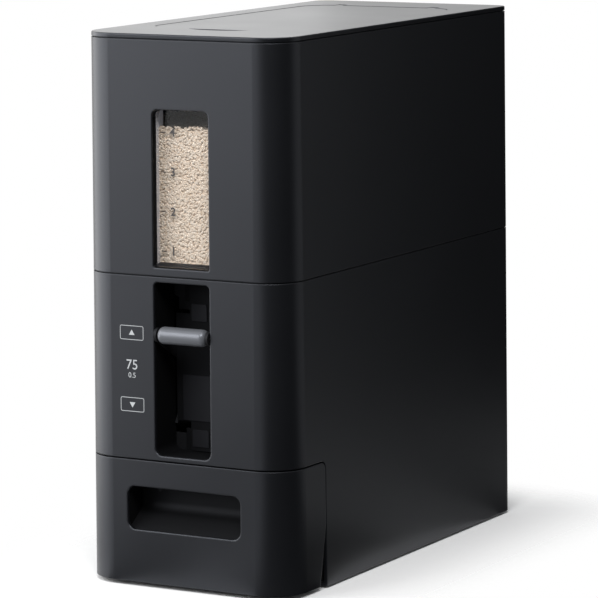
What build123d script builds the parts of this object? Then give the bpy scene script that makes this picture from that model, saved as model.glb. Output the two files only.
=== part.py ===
from build123d import *
import math
import os

# A slim rice bin with a measuring lever. Millimetres, floor at Z = 0, front towards -Y.

# Case
BASE_WIDTH = 158.1
BASE_DEPTH = 333.4
DRAFT_ANGLE = 0.355
FRONT_CORNER = 25.0
REAR_CORNER = 13.2
LEAST_CORNER = 1.0
WALL = 2.5
FIT = 0.4
FOOT_PROUD = 1.5
REAR_FOOT_ROUND = 12.0
SEAM_ABOVE_SLOT = 4.0
SEAM_GAP = 0.8
SEAM_REVEAL = 1.2
EDGE_ROUND = 0.6
OPENING_ROUND = 0.8
OVERRUN = 20.0
TOUCH = 0.05

# Lid frame and fill flap
LID_HEIGHT = 366.5
LID_EDGE = 2.9
LID_GAP = 0.7
LID_ROUND = 0.8
SKIRT_DROP = 8.0
SKIRT_WALL = 2.0
FLAP_SIDE_MARGIN = 19.3
FLAP_FRONT_MARGIN = 52.0
FLAP_REAR_MARGIN = 45.9
FLAP_CORNER = 20.0
FLAP_THICK = 2.2
FLAP_RECESS = 0.15
FLAP_GAP = 0.5
FLAP_REAR_GAP = 0.9
FLAP_EDGE_ROUND = 0.25
FLAP_RIM_INSET = 12.0
FLAP_RIM_WALL = 2.0
FLAP_RIM_DROP = 5.0
LEDGE_WIDTH = 5.0
LEDGE_BACK = 2.0
LEDGE_THICK = 2.0
LEDGE_CLEAR = 0.2
NOTCH_WIDTH = 49.2
NOTCH_REACH = 9.0
NOTCH_UNDER = 8.0
NOTCH_DEPTH = 8.0
NOTCH_WALL = 2.0
HINGE_BEHIND = 5.0
HINGE_BELOW = 2.35
HINGE_PIN_RADIUS = 1.2
HINGE_PIN_SLACK = 0.05
HINGE_PIN_LENGTH = 15.0
KNUCKLE_RADIUS = 2.4
KNUCKLE_WIDTH = 6.0
KNUCKLE_INSET = 20.5
KNUCKLE_CLEAR = 0.5
HINGE_BOSS_WIDTH = 5.0
HINGE_BOSS_DROP = 3.0

# Window
WINDOW_WIDTH = 42.0
WINDOW_ABOVE_SEAM = 5.7
WINDOW_BELOW_LID = 49.0
WINDOW_LOW_CORNER = 1.2
WINDOW_HIGH_CORNER = 4.0
WINDOW_LIP_DEPTH = 5.0
WINDOW_LIP_WALL = 1.5
PANE_THICK = 1.8
PANE_DEPTH = 5.5
PANE_WALL = 1.5
PANE_LAND = 4.0

# Lever recess
SLOT_WIDTH = 42.0
SLOT_HEIGHT = 115.0
SLOT_ABOVE_DRAWER = 3.7
SLOT_LOW_CORNER = 5.0
SLOT_HIGH_CORNER = 3.0
LINER_WALL = 1.5
LINER_FLANGE = 8.0
LINER_FLANGE_THICK = 1.6
TAB_WIDTH = 24.0
TAB_HEIGHT = 15.0
TAB_THICK = 1.8

# Measuring chamber and its front panel
ROCKER_ABOVE_SLOT = 56.0
ROCKER_DEPTH = 45.3
CHAMBER_DEPTH = 37.0
CHAMBER_WALL = 1.7
CHAMBER_RADIUS = 39.0
PANEL_THICK = 1.6
PANEL_HEIGHT = 72.0
PANEL_GAP = 0.3
STRIP_WIDTH = 15.0
STRIP_GAP = 0.5
PEG_RADIUS = 1.8
PEG_SPACING = 8.0
PEG_PROUD = 0.2
PIVOT_RADIUS = 2.5
PIVOT_SLACK = 0.05
PIVOT_HEAD_RADIUS = 4.5
PIVOT_HEAD_THICK = 1.2
PIVOT_END_PLAY = 0.3

# Rocker: two cheeks, two curved gates and the grip
GATE_CLEAR = 0.5
GATE_THICK = 2.0
GATE_END_GAP = 0.4
GATE_ARC_ANGLE = 60.0
TENON_ARC_ANGLE = 14.0
CHEEK_GAP = 0.5
CHEEK_THICK = 2.1
CHEEK_RIM = 2.0
ARM_SIDE_GAP = 0.5
HUB_RADIUS = 9.0
LEVER_RADIUS = 49.0
LEVER_REST_ANGLE = 29.4
LEVER_TRAVEL_ANGLE = 60.0
ARM_WIDTH = 9.0
ARM_END_RADIUS = 4.7
GRIP_RADIUS = 5.7
GRIP_ROUND = 4.0
GRIP_END_GAP = 0.2
ROD_RADIUS = 1.5

# Hopper
HOPPER_WALL = 2.0
NECK_FRONT_STEP = 2.0
FUNNEL_CLEAR = 4.5
FUNNEL_RISE = 70.0
FUNNEL_REAR_ANGLE = 12.0
FUNNEL_SIDE_ANGLE = 24.0
RING_DROP = 8.0
RING_RISE = 9.0
RING_NOTCH = 2.5

# Drawer
DRAWER_SEAM = 85.8
DRAWER_GAP = 1.0
DRAWER_LIFT = 1.6
DRAWER_FLOOR = 2.5
BAY_DEPTH = 51.9
BAY_CORNER = 6.0
BAY_SIDE_GAP = 0.8
DRAWER_FOOT_CUT = 9.4
DRAWER_TAPER_HEIGHT = 44.0
PULL_WIDTH = 86.0
PULL_HEIGHT = 29.0
PULL_BELOW_SEAM = 18.3
PULL_CORNER = 6.0
PULL_DEPTH = 20.0
PULL_RAMP = 12.0
PULL_RISE = 7.0
PULL_FLOOR_ROUND = 8.0
PULL_ROOF_ROUND = 4.0
CUP_WALL = 1.8
TRAY_REACH = 160.0
TRAY_TOP_GAP = 7.3
TRAY_WALL = 2.0
TRAY_CORNER = 8.0
DRAWER_RIB_WIDTH = 4.0
DRAWER_RIB_SPACING = 90.0
DRAWER_RIB_START = 6.0
DRAWER_SCREW_SPACING = 60.0

# Base, deck and runners
RIM_WIDTH = 22.0
PLATE_SIDE_GAP = 1.5
PLATE_REAR_GAP = 2.0
BASE_FRONT_GAP = 1.0
BASE_THICK = 2.0
BASE_BOSS_RADIUS = 4.0
BASE_BOSS_HEIGHT = 5.0
BASE_SCREW_EDGE = 6.0
BASE_SCREW_COUNT = 3
FOOT_RADIUS = 9.0
FOOT_SPIGOT_RADIUS = 4.0
FOOT_INSET = 12.0
FOOT_FRONT_GAP = 12.0
FOOT_REAR_GAP = 30.0
DECK_THICK = 1.8
DECK_GAP = 0.3
DECK_REACH = 180.0
DECK_LEDGE_WIDTH = 8.0
DECK_LEDGE_THICK = 2.5
CHUTE_WALL = 1.5
CHUTE_SIDE_GAP = 0.5
CHUTE_REAR_REACH = 24.0
CHUTE_TOP_GAP = 1.5
RUNNER_LIP_WIDTH = 8.0
RUNNER_LIP_THICK = 1.5
RUNNER_WALL = 2.0
RUNNER_HEIGHT = 14.0
RUNNER_SIDE_GAP = 0.5
RUNNER_CASE_GAP = 1.55
RUNNER_TRAY_GAP = 0.2
RUNNER_STOP_GAP = 0.5
RUNNER_STOP_THICK = 2.5

# Screws
SCREW_RADIUS = 1.5
SCREW_HEAD_RADIUS = 3.0
SCREW_HEAD_THICK = 1.2
SCREW_REACH = 7.0
RUNNER_SCREW_SHARES = (0.25, 0.75)
DECK_SCREW_SHARES = (0.2, 0.8)

SLOPE = math.tan(math.radians(DRAFT_ANGLE))


def front_y(height):
    """Y of the outer front face at a height above the floor."""
    return (height - FOOT_PROUD) * SLOPE - BASE_DEPTH / 2


def side_x(height):
    """X of the outer right-hand face at a height above the floor."""
    return BASE_WIDTH / 2 - (height - FOOT_PROUD) * SLOPE


# Heights, from the floor up
FLOOR_TOP = FOOT_PROUD + WALL
BASE_TOP = FLOOR_TOP + BASE_THICK
DRAWER_LOW = FOOT_PROUD + DRAWER_LIFT
DRAWER_TOP = DRAWER_SEAM - DRAWER_GAP / 2
BAY_TOP = DRAWER_SEAM + DRAWER_GAP / 2
PULL_HIGH = DRAWER_SEAM - PULL_BELOW_SEAM
PULL_LOW = PULL_HIGH - PULL_HEIGHT
SLOT_LOW = DRAWER_SEAM + SLOT_ABOVE_DRAWER
SLOT_HIGH = SLOT_LOW + SLOT_HEIGHT
ROCKER_HEIGHT = SLOT_LOW + ROCKER_ABOVE_SLOT
SEAM_HEIGHT = SLOT_HIGH + SEAM_ABOVE_SLOT
WINDOW_LOW = SEAM_HEIGHT + WINDOW_ABOVE_SEAM
WINDOW_HIGH = LID_HEIGHT - WINDOW_BELOW_LID

# Levels and lines that several pieces share
CASE_TOP = LID_HEIGHT - LID_EDGE - LID_GAP
PLATE_LOW = LID_HEIGHT - LID_EDGE
LOWER_TOP = SEAM_HEIGHT - SEAM_GAP / 2
UPPER_LOW = SEAM_HEIGHT + SEAM_GAP / 2
BASE_FRONT = -BASE_DEPTH / 2
BASE_REAR = BASE_DEPTH / 2
BAY_EDGE = BASE_FRONT + BAY_DEPTH
PLATE_HALF_WIDTH = BASE_WIDTH / 2 - WALL - PLATE_SIDE_GAP
PLATE_REAR = BASE_REAR - REAR_FOOT_ROUND - PLATE_REAR_GAP

FLAP_FRONT = front_y(LID_HEIGHT) + FLAP_FRONT_MARGIN
FLAP_REAR = -front_y(LID_HEIGHT) - FLAP_REAR_MARGIN
FLAP_WIDTH = 2 * (side_x(LID_HEIGHT) - FLAP_SIDE_MARGIN)
KNUCKLE_SPREAD = FLAP_WIDTH - 2 * KNUCKLE_INSET
FLAP_TOP = LID_HEIGHT - FLAP_RECESS
FLAP_LOW = FLAP_TOP - FLAP_THICK
LEDGE_TOP = FLAP_LOW - LEDGE_CLEAR
LEDGE_LOW = LEDGE_TOP - LEDGE_THICK
HINGE_Y = FLAP_REAR + HINGE_BEHIND
HINGE_Z = FLAP_TOP - HINGE_BELOW

ROCKER_Y = front_y(ROCKER_HEIGHT) + ROCKER_DEPTH
CHEEK_OUTER = SLOT_WIDTH / 2 - ARM_SIDE_GAP
CHEEK_INNER = CHEEK_OUTER - CHEEK_THICK
CHAMBER_HALF = CHEEK_INNER - CHEEK_GAP
CHAMBER_WIDTH = 2 * (CHAMBER_HALF - CHAMBER_WALL)
CHAMBER_REACH = CHAMBER_DEPTH / 2 + CHAMBER_WALL
PANEL_BACK = ROCKER_Y - CHAMBER_REACH - PANEL_GAP
PANEL_FRONT = PANEL_BACK - PANEL_THICK
GATE_INNER = CHAMBER_RADIUS + GATE_CLEAR
GATE_OUTER = GATE_INNER + GATE_THICK
CHEEK_RADIUS = GATE_OUTER + CHEEK_RIM
GATE_END_ANGLE = math.degrees(math.acos((CHAMBER_REACH + PANEL_GAP - GATE_END_GAP) / GATE_OUTER))
LOWER_GATE_ANGLE = -GATE_END_ANGLE - GATE_ARC_ANGLE
UPPER_GATE_ANGLE = GATE_END_ANGLE + LEVER_TRAVEL_ANGLE
GRIP_Y = ROCKER_Y - LEVER_RADIUS * math.cos(math.radians(LEVER_REST_ANGLE))
GRIP_Z = ROCKER_HEIGHT + LEVER_RADIUS * math.sin(math.radians(LEVER_REST_ANGLE))

NECK_RADIUS = GATE_OUTER + GATE_CLEAR
NECK_FRONT = ROCKER_Y - CHAMBER_DEPTH / 2 + NECK_FRONT_STEP
NECK_REAR = ROCKER_Y + CHAMBER_DEPTH / 2
FUNNEL_LOW = ROCKER_HEIGHT + CHEEK_RADIUS + FUNNEL_CLEAR
SHELF_TOP = UPPER_LOW

DRAWER_FOOT_DEPTH = BAY_DEPTH - DRAWER_FOOT_CUT
TRAY_LOW = BASE_TOP + RUNNER_LIP_THICK + RUNNER_TRAY_GAP
PULL_FACE = front_y((PULL_LOW + PULL_HIGH) / 2)
CUP_BACK = PULL_FACE + PULL_DEPTH + CUP_WALL
TRAY_REAR = BASE_FRONT + TRAY_REACH
TRAY_HIGH = DRAWER_TOP - TRAY_TOP_GAP
TRAY_HALF = BASE_WIDTH / 2 - WALL - RUNNER_CASE_GAP - RUNNER_WALL - RUNNER_SIDE_GAP
DRAWER_SCREW_HEIGHT = (PULL_LOW + PULL_RAMP + PULL_HIGH + PULL_RISE) / 2
DECK_TOP = SLOT_LOW - LINER_WALL - DECK_GAP
DECK_LOW = DECK_TOP - DECK_THICK
DECK_REAR = BASE_FRONT + DECK_REACH
RUNNER_FRONT = BAY_EDGE + BASE_FRONT_GAP
RUNNER_REAR = TRAY_REAR + RUNNER_STOP_GAP + RUNNER_STOP_THICK
RUNNER_OUTER = TRAY_HALF + RUNNER_SIDE_GAP + RUNNER_WALL


# Shapes that the pieces are cut from
def block(left, right, near, far, low, high):
    """A box between two planes each way."""
    middle = Pos((left + right) / 2, (near + far) / 2, (low + high) / 2)
    return middle * Box(right - left, far - near, high - low)


def rod_x(radius, left, right, y, z):
    """A round bar along X."""
    return Pos((left + right) / 2, y, z) * Rot(0, 90, 0) * Cylinder(radius, right - left)


def rod_y(radius, x, near, far, z):
    """A round bar along Y."""
    return Pos(x, (near + far) / 2, z) * Rot(90, 0, 0) * Cylinder(radius, far - near)


def rod_z(radius, x, y, low, high):
    """A round bar along Z."""
    return Pos(x, y, (low + high) / 2) * Cylinder(radius, high - low)


def rounded(width, height, low_corner, high_corner):
    """A rectangle with one radius on its lower corners and another on its upper ones."""
    flat = Rectangle(width, height)
    flat = fillet(flat.vertices().sort_by(Axis.Y)[:2], low_corner)
    return fillet(flat.vertices().sort_by(Axis.Y)[-2:], high_corner)


def case_prism(low, high, inset):
    """The tapered outline of the case between two heights, drawn in by an inset."""
    drawn_in = (low - FOOT_PROUD) * SLOPE + inset
    front_corner = max(FRONT_CORNER - drawn_in, LEAST_CORNER)
    rear_corner = max(REAR_CORNER - drawn_in, LEAST_CORNER)
    flat = rounded(BASE_WIDTH - 2 * drawn_in, BASE_DEPTH - 2 * drawn_in, front_corner, rear_corner)
    return extrude(Pos(0, 0, low) * flat, amount=high - low, taper=DRAFT_ANGLE)


def case_ring(low, high, outer_inset, inner_inset):
    """A ring of the case outline between two insets."""
    ring = case_prism(low, high, outer_inset)
    return ring - case_prism(low - OVERRUN, high + OVERRUN, inner_inset)


def front_hole(width, low, high, low_corner, high_corner, near, far):
    """A rounded opening seen from the front, running from near to far along Y."""
    flat = Pos(0, (low + high) / 2) * rounded(width, high - low, low_corner, high_corner)
    return extrude(Plane.XZ.offset(-far) * flat, amount=far - near)


def top_hole(width, near, far, corner, low, high):
    """A rounded opening seen from above."""
    flat = Pos(0, (near + far) / 2, low) * rounded(width, far - near, corner, corner)
    return extrude(flat, amount=high - low)


def side_slab(points, half_width):
    """A profile drawn in Y and Z, spread the same way to both sides in X."""
    flat = make_face(Polyline(*points, close=True))
    return extrude(Plane.YZ * flat, amount=half_width, both=True)


def rear_round(inset):
    """What is cut off the rear foot of the case to round it."""
    radius = REAR_FOOT_ROUND - inset
    y = BASE_REAR - inset
    z = FOOT_PROUD + inset
    corner = block(-BASE_WIDTH, BASE_WIDTH, y - radius, y + OVERRUN, z - OVERRUN, z + radius)
    return corner - rod_x(radius, -BASE_WIDTH - OVERRUN, BASE_WIDTH + OVERRUN, y - radius, z + radius)


def on_front(solid, width, low, high):
    """The edges of a front opening that lie on the outer face."""
    found = []
    for edge in solid.edges():
        spot = edge.center()
        near_face = abs(spot.Y - front_y(spot.Z)) < TOUCH
        inside = abs(spot.X) < width / 2 + TOUCH and low - TOUCH < spot.Z < high + TOUCH
        if near_face and inside:
            found.append(edge)
    return found


def screw_z(x, y, seat, reach, up):
    """A pan-head screw along Z whose head lies on the seat and whose shank points up or down."""
    if up:
        return rod_z(SCREW_RADIUS, x, y, seat, seat + reach) + rod_z(
            SCREW_HEAD_RADIUS, x, y, seat - SCREW_HEAD_THICK, seat
        )
    return rod_z(SCREW_RADIUS, x, y, seat - reach, seat) + rod_z(
        SCREW_HEAD_RADIUS, x, y, seat, seat + SCREW_HEAD_THICK
    )


def both_sides(piece):
    """A piece and its mirror image across the middle plane."""
    return piece + mirror(piece, about=Plane.YZ)


# Where the screws and feet sit, on the right-hand side
def base_screw_spots():
    first = RUNNER_REAR + RIM_WIDTH
    last = BASE_REAR - FOOT_REAR_GAP - 2 * FOOT_RADIUS
    step = (last - first) / (BASE_SCREW_COUNT - 1)
    x = BASE_WIDTH / 2 - RIM_WIDTH + BASE_SCREW_EDGE
    return [(x, first + step * row) for row in range(BASE_SCREW_COUNT)]


def runner_screw_spots():
    x = TRAY_HALF - RUNNER_LIP_WIDTH / 2
    run = TRAY_REAR - RUNNER_FRONT
    return [(x, RUNNER_FRONT + run * share) for share in RUNNER_SCREW_SHARES]


def deck_screw_spots():
    x = side_x(DECK_LOW) - WALL - DECK_LEDGE_WIDTH / 2
    run = DECK_REAR - BAY_EDGE
    return [(x, BAY_EDGE + run * share) for share in DECK_SCREW_SHARES]


def foot_spots():
    x = BASE_WIDTH / 2 - FOOT_INSET
    return {"front": (x, BAY_EDGE + FOOT_FRONT_GAP), "rear": (x, BASE_REAR - FOOT_REAR_GAP)}


# Lower case and what closes it below
def make_lower_case():
    body = case_prism(FOOT_PROUD, LOWER_TOP, 0) - rear_round(0)
    body -= case_prism(FLOOR_TOP, LOWER_TOP + OVERRUN, WALL) - rear_round(WALL)
    hole_half = BASE_WIDTH / 2 - RIM_WIDTH
    body -= block(-hole_half, hole_half, BAY_EDGE + RIM_WIDTH, BASE_REAR - RIM_WIDTH, 0, FLOOR_TOP + TOUCH)
    bay = make_face(
        Polyline(
            (BASE_FRONT - OVERRUN, -OVERRUN),
            (BAY_EDGE, -OVERRUN),
            (BAY_EDGE, BAY_TOP),
            (BASE_FRONT - OVERRUN, BAY_TOP),
            close=True,
        )
    )
    bay = fillet(bay.vertices().sort_by(Axis.X)[-2:].sort_by(Axis.Y)[-1:], BAY_CORNER)
    body -= extrude(Plane.YZ * bay, amount=BASE_WIDTH, both=True)
    ledge_half = side_x(DECK_LOW) - WALL - DECK_LEDGE_WIDTH
    ledge_low = DECK_LOW - DECK_LEDGE_THICK
    ledges = block(-BASE_WIDTH, BASE_WIDTH, BAY_EDGE, DECK_REAR, ledge_low, DECK_LOW)
    ledges -= block(-ledge_half, ledge_half, BAY_EDGE, DECK_REAR, ledge_low, DECK_LOW)
    body += ledges & case_prism(FOOT_PROUD, LOWER_TOP, WALL / 2)
    near = front_y(SLOT_LOW) - OVERRUN
    body -= front_hole(
        SLOT_WIDTH, SLOT_LOW, SLOT_HIGH, SLOT_LOW_CORNER, SLOT_HIGH_CORNER, near, ROCKER_Y
    )
    for x, y in base_screw_spots():
        body -= both_sides(rod_z(SCREW_RADIUS, x, y, 0, FLOOR_TOP + TOUCH))
    for x, y in foot_spots().values():
        body -= both_sides(rod_z(FOOT_SPIGOT_RADIUS, x, y, 0, FLOOR_TOP + TOUCH))
    for x, y in deck_screw_spots():
        body -= both_sides(rod_z(SCREW_RADIUS, x, y, DECK_LOW - SCREW_REACH, DECK_LOW))
    body = fillet(on_front(body, SLOT_WIDTH, SLOT_LOW, SLOT_HIGH), OPENING_ROUND)
    return body


def make_base_plate():
    plate = block(
        -PLATE_HALF_WIDTH, PLATE_HALF_WIDTH, BAY_EDGE + BASE_FRONT_GAP, PLATE_REAR, FLOOR_TOP, BASE_TOP
    )
    for x, y in base_screw_spots():
        plate += both_sides(rod_z(BASE_BOSS_RADIUS, x, y, BASE_TOP, BASE_TOP + BASE_BOSS_HEIGHT))
        plate -= both_sides(rod_z(SCREW_RADIUS, x, y, 0, FOOT_PROUD + SCREW_REACH))
    for x, y in runner_screw_spots():
        plate -= both_sides(rod_z(SCREW_RADIUS, x, y, 0, BASE_TOP + TOUCH))
    return plate


def make_base_screws():
    screws = [screw_z(x, y, FOOT_PROUD, SCREW_REACH, True) for x, y in base_screw_spots()]
    return Compound(children=[both_sides(screw) for screw in screws])


def make_foot(x, y):
    pad = rod_z(FOOT_RADIUS, x, y, 0, FOOT_PROUD)
    pad = fillet(pad.edges().group_by(Axis.Z)[0], EDGE_ROUND)
    return pad + rod_z(FOOT_SPIGOT_RADIUS, x, y, FOOT_PROUD, FLOOR_TOP)


# Upper case and window
def window_outline(grow, near, far):
    """The window's outline grown by a margin, running from near to far along Y."""
    return front_hole(
        WINDOW_WIDTH + 2 * grow,
        WINDOW_LOW - grow,
        WINDOW_HIGH + grow,
        WINDOW_LOW_CORNER + grow,
        WINDOW_HIGH_CORNER + grow,
        near,
        far,
    )


def make_upper_case():
    body = case_prism(UPPER_LOW, CASE_TOP, 0)
    body -= case_prism(UPPER_LOW - OVERRUN, CASE_TOP + OVERRUN, WALL)
    near = front_y(WINDOW_LOW) - OVERRUN
    far = front_y(WINDOW_HIGH) + WINDOW_LIP_DEPTH + OVERRUN
    lip = window_outline(WINDOW_LIP_WALL, near, far)
    body += lip & case_ring(UPPER_LOW, CASE_TOP, WALL / 2, WINDOW_LIP_DEPTH)
    body -= window_outline(0, near, far)
    return fillet(on_front(body, WINDOW_WIDTH, WINDOW_LOW, WINDOW_HIGH), OPENING_ROUND)


def make_window_pane():
    """A clear pan: a flange behind the window's lip, side walls, and the pane at the back of them."""
    near = front_y(WINDOW_LOW)
    far = near + WINDOW_LIP_DEPTH + PANE_DEPTH + OVERRUN
    low = WINDOW_LOW - OVERRUN
    high = WINDOW_HIGH + OVERRUN
    back = WINDOW_LIP_DEPTH + PANE_DEPTH
    hollow = window_outline(0, near, far) & case_ring(low, high, 0, back - PANE_THICK)
    flange = window_outline(PANE_LAND, near, far)
    flange &= case_ring(low, high, WINDOW_LIP_DEPTH, WINDOW_LIP_DEPTH + PANE_THICK)
    pan = window_outline(PANE_WALL, near, far) & case_ring(low, high, WINDOW_LIP_DEPTH, back)
    front_only = block(-BASE_WIDTH, BASE_WIDTH, BASE_FRONT, 0, low, high)
    return ((flange + pan) & front_only) - hollow


# Lid frame, flap and hinge
def flap_opening(grow, low, high):
    """The flap's outline grown by a margin, between two heights."""
    return top_hole(
        FLAP_WIDTH + 2 * grow, FLAP_FRONT - grow, FLAP_REAR + grow, FLAP_CORNER + grow, low, high
    )


def make_lid_frame():
    plate = case_prism(PLATE_LOW, LID_HEIGHT, 0)
    plate = fillet(plate.edges().group_by(Axis.Z)[-1], LID_ROUND)
    plate += case_ring(CASE_TOP, PLATE_LOW, SEAM_REVEAL, WALL + FIT + SKIRT_WALL)
    plate += case_ring(CASE_TOP - SKIRT_DROP, PLATE_LOW, WALL + FIT, WALL + FIT + SKIRT_WALL)
    plate += flap_opening(FLAP_GAP + LEDGE_BACK, LEDGE_LOW, PLATE_LOW)
    pocket_half = NOTCH_WIDTH / 2 + NOTCH_WALL
    pocket_near = FLAP_FRONT - NOTCH_REACH - NOTCH_WALL
    pocket_far = FLAP_FRONT + NOTCH_UNDER + NOTCH_WALL
    pocket_floor = LID_HEIGHT - NOTCH_DEPTH
    pocket = block(
        -pocket_half, pocket_half, pocket_near, pocket_far, pocket_floor - NOTCH_WALL, LEDGE_TOP
    )
    plate += pocket
    boss_half = KNUCKLE_WIDTH / 2 + KNUCKLE_CLEAR + HINGE_BOSS_WIDTH
    boss_reach = KNUCKLE_RADIUS + HINGE_BOSS_WIDTH / 2
    for x in (-KNUCKLE_SPREAD / 2, KNUCKLE_SPREAD / 2):
        plate += block(
            x - boss_half,
            x + boss_half,
            HINGE_Y - boss_reach,
            HINGE_Y + boss_reach,
            PLATE_LOW - HINGE_BOSS_DROP,
            PLATE_LOW,
        )
    # The flap's seat, then the way through it inside the ledge
    seat = top_hole(
        FLAP_WIDTH + 2 * FLAP_GAP,
        FLAP_FRONT - FLAP_GAP,
        FLAP_REAR + FLAP_REAR_GAP,
        FLAP_CORNER + FLAP_GAP,
        LEDGE_TOP,
        LID_HEIGHT + OVERRUN,
    )
    plate -= seat
    plate -= flap_opening(-LEDGE_WIDTH, LEDGE_LOW - OVERRUN, LID_HEIGHT + OVERRUN) - pocket
    # Finger notch in front of the flap, reaching under its edge
    half = NOTCH_WIDTH / 2
    notch_radius = (half**2 + NOTCH_REACH**2) / (2 * NOTCH_REACH)
    notch_y = FLAP_FRONT - NOTCH_REACH + notch_radius
    notch = rod_z(notch_radius, 0, notch_y, pocket_floor, LID_HEIGHT + OVERRUN)
    notch &= block(
        -half, half, FLAP_FRONT - NOTCH_REACH, FLAP_FRONT + NOTCH_UNDER, pocket_floor, LID_HEIGHT + OVERRUN
    )
    plate -= notch
    # Slots for the flap's knuckles, and the pin holes beside them
    slot_half = KNUCKLE_WIDTH / 2 + KNUCKLE_CLEAR
    for x in (-KNUCKLE_SPREAD / 2, KNUCKLE_SPREAD / 2):
        plate -= block(
            x - slot_half,
            x + slot_half,
            FLAP_REAR - LEDGE_WIDTH,
            HINGE_Y + KNUCKLE_RADIUS + KNUCKLE_CLEAR,
            LEDGE_LOW - OVERRUN,
            LID_HEIGHT + OVERRUN,
        )
        plate -= rod_x(
            HINGE_PIN_RADIUS, x - HINGE_PIN_LENGTH / 2, x + HINGE_PIN_LENGTH / 2, HINGE_Y, HINGE_Z
        )
    return plate


def make_lid_flap():
    flap = flap_opening(0, FLAP_LOW, FLAP_TOP)
    flap = fillet(flap.edges().group_by(Axis.Z)[-1], FLAP_EDGE_ROUND)
    rim_low = FLAP_LOW - FLAP_RIM_DROP
    rim = flap_opening(-FLAP_RIM_INSET, rim_low, FLAP_LOW)
    rim -= flap_opening(-FLAP_RIM_INSET - FLAP_RIM_WALL, rim_low, FLAP_LOW)
    flap += rim
    for x in (-KNUCKLE_SPREAD / 2, KNUCKLE_SPREAD / 2):
        left = x - KNUCKLE_WIDTH / 2
        right = x + KNUCKLE_WIDTH / 2
        flap += block(left, right, FLAP_REAR - LEDGE_WIDTH, HINGE_Y, FLAP_LOW, FLAP_TOP)
        flap += rod_x(KNUCKLE_RADIUS, left, right, HINGE_Y, HINGE_Z)
        flap -= rod_x(HINGE_PIN_RADIUS + HINGE_PIN_SLACK, left, right, HINGE_Y, HINGE_Z)
    return flap


def make_hinge_pin(side):
    middle = side * KNUCKLE_SPREAD / 2
    half = HINGE_PIN_LENGTH / 2
    return rod_x(HINGE_PIN_RADIUS, middle - half, middle + half, HINGE_Y, HINGE_Z)


# Lever recess and measuring chamber
def make_lever_recess_liner():
    near = front_y(SLOT_LOW)
    far = PANEL_BACK + TAB_THICK
    outer = front_hole(
        SLOT_WIDTH + 2 * LINER_WALL,
        SLOT_LOW - LINER_WALL,
        SLOT_HIGH + LINER_WALL,
        SLOT_LOW_CORNER + LINER_WALL,
        SLOT_HIGH_CORNER + LINER_WALL,
        near,
        far,
    )
    hollow = front_hole(
        SLOT_WIDTH, SLOT_LOW, SLOT_HIGH, SLOT_LOW_CORNER, SLOT_HIGH_CORNER, near, far
    )
    tube = outer - hollow
    half = SLOT_WIDTH / 2 + LINER_FLANGE
    flange = block(-half, half, near, far, SLOT_LOW - LINER_WALL, SLOT_HIGH + LINER_WALL) - outer
    flange -= case_prism(FOOT_PROUD, LOWER_TOP, WALL + LINER_FLANGE_THICK)
    tabs = block(-TAB_WIDTH / 2, TAB_WIDTH / 2, PANEL_BACK, far, SLOT_LOW - LINER_WALL, SLOT_LOW + TAB_HEIGHT)
    tabs += block(
        -TAB_WIDTH / 2, TAB_WIDTH / 2, PANEL_BACK, far, SLOT_HIGH - TAB_HEIGHT, SLOT_HIGH + LINER_WALL
    )
    tabs -= make_pegs()
    return (tube + flange + tabs) & case_prism(FOOT_PROUD, LOWER_TOP, WALL)


def make_pegs():
    """Pegs that stake the chamber's front panel to the tabs of the liner."""
    pegs = []
    for z in (SLOT_LOW + TAB_HEIGHT / 2, SLOT_HIGH - TAB_HEIGHT / 2):
        for x in (-PEG_SPACING / 2, PEG_SPACING / 2):
            pegs.append(rod_y(PEG_RADIUS, x, PANEL_BACK, PANEL_BACK + TAB_THICK + PEG_PROUD, z))
    return Part() + pegs


def make_measuring_chamber():
    low = ROCKER_HEIGHT - GATE_OUTER
    high = ROCKER_HEIGHT + GATE_OUTER
    tube = block(
        -CHAMBER_HALF, CHAMBER_HALF, ROCKER_Y - CHAMBER_REACH, ROCKER_Y + CHAMBER_REACH, low, high
    )
    tube &= rod_x(CHAMBER_RADIUS, -CHAMBER_HALF, CHAMBER_HALF, ROCKER_Y, ROCKER_HEIGHT)
    web_half = math.sqrt(CHAMBER_RADIUS**2 - (ROCKER_Y - PANEL_BACK) ** 2)
    tube += block(
        -CHAMBER_HALF,
        CHAMBER_HALF,
        PANEL_BACK,
        ROCKER_Y - CHAMBER_DEPTH / 2,
        ROCKER_HEIGHT - web_half,
        ROCKER_HEIGHT + web_half,
    )
    half = CHAMBER_WIDTH / 2
    tube -= block(-half, half, ROCKER_Y - CHAMBER_DEPTH / 2, ROCKER_Y + CHAMBER_DEPTH / 2, low, high)
    panel = block(
        -CHAMBER_HALF,
        CHAMBER_HALF,
        PANEL_FRONT,
        PANEL_BACK,
        ROCKER_HEIGHT - PANEL_HEIGHT / 2,
        ROCKER_HEIGHT + PANEL_HEIGHT / 2,
    )
    strip = block(
        -STRIP_WIDTH / 2,
        STRIP_WIDTH / 2,
        PANEL_FRONT,
        PANEL_BACK,
        SLOT_LOW + STRIP_GAP,
        SLOT_HIGH - STRIP_GAP,
    )
    body = tube + panel + strip + make_pegs()
    return body - rod_x(PIVOT_RADIUS, -BASE_WIDTH, BASE_WIDTH, ROCKER_Y, ROCKER_HEIGHT)


def make_pivot_pin():
    """The right-hand stub axle. Its head keeps the cheek on."""
    head = CHEEK_OUTER + PIVOT_END_PLAY
    pin = rod_x(PIVOT_RADIUS, CHAMBER_WIDTH / 2, head, ROCKER_Y, ROCKER_HEIGHT)
    return pin + rod_x(PIVOT_HEAD_RADIUS, head, head + PIVOT_HEAD_THICK, ROCKER_Y, ROCKER_HEIGHT)


# Rocker. Angles are counted from straight ahead, upwards.
def toward(angle, radius):
    """The point at a radius from the rocker's axis, as Y and Z."""
    turn = math.radians(angle)
    return (ROCKER_Y - radius * math.cos(turn), ROCKER_HEIGHT + radius * math.sin(turn))


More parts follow.
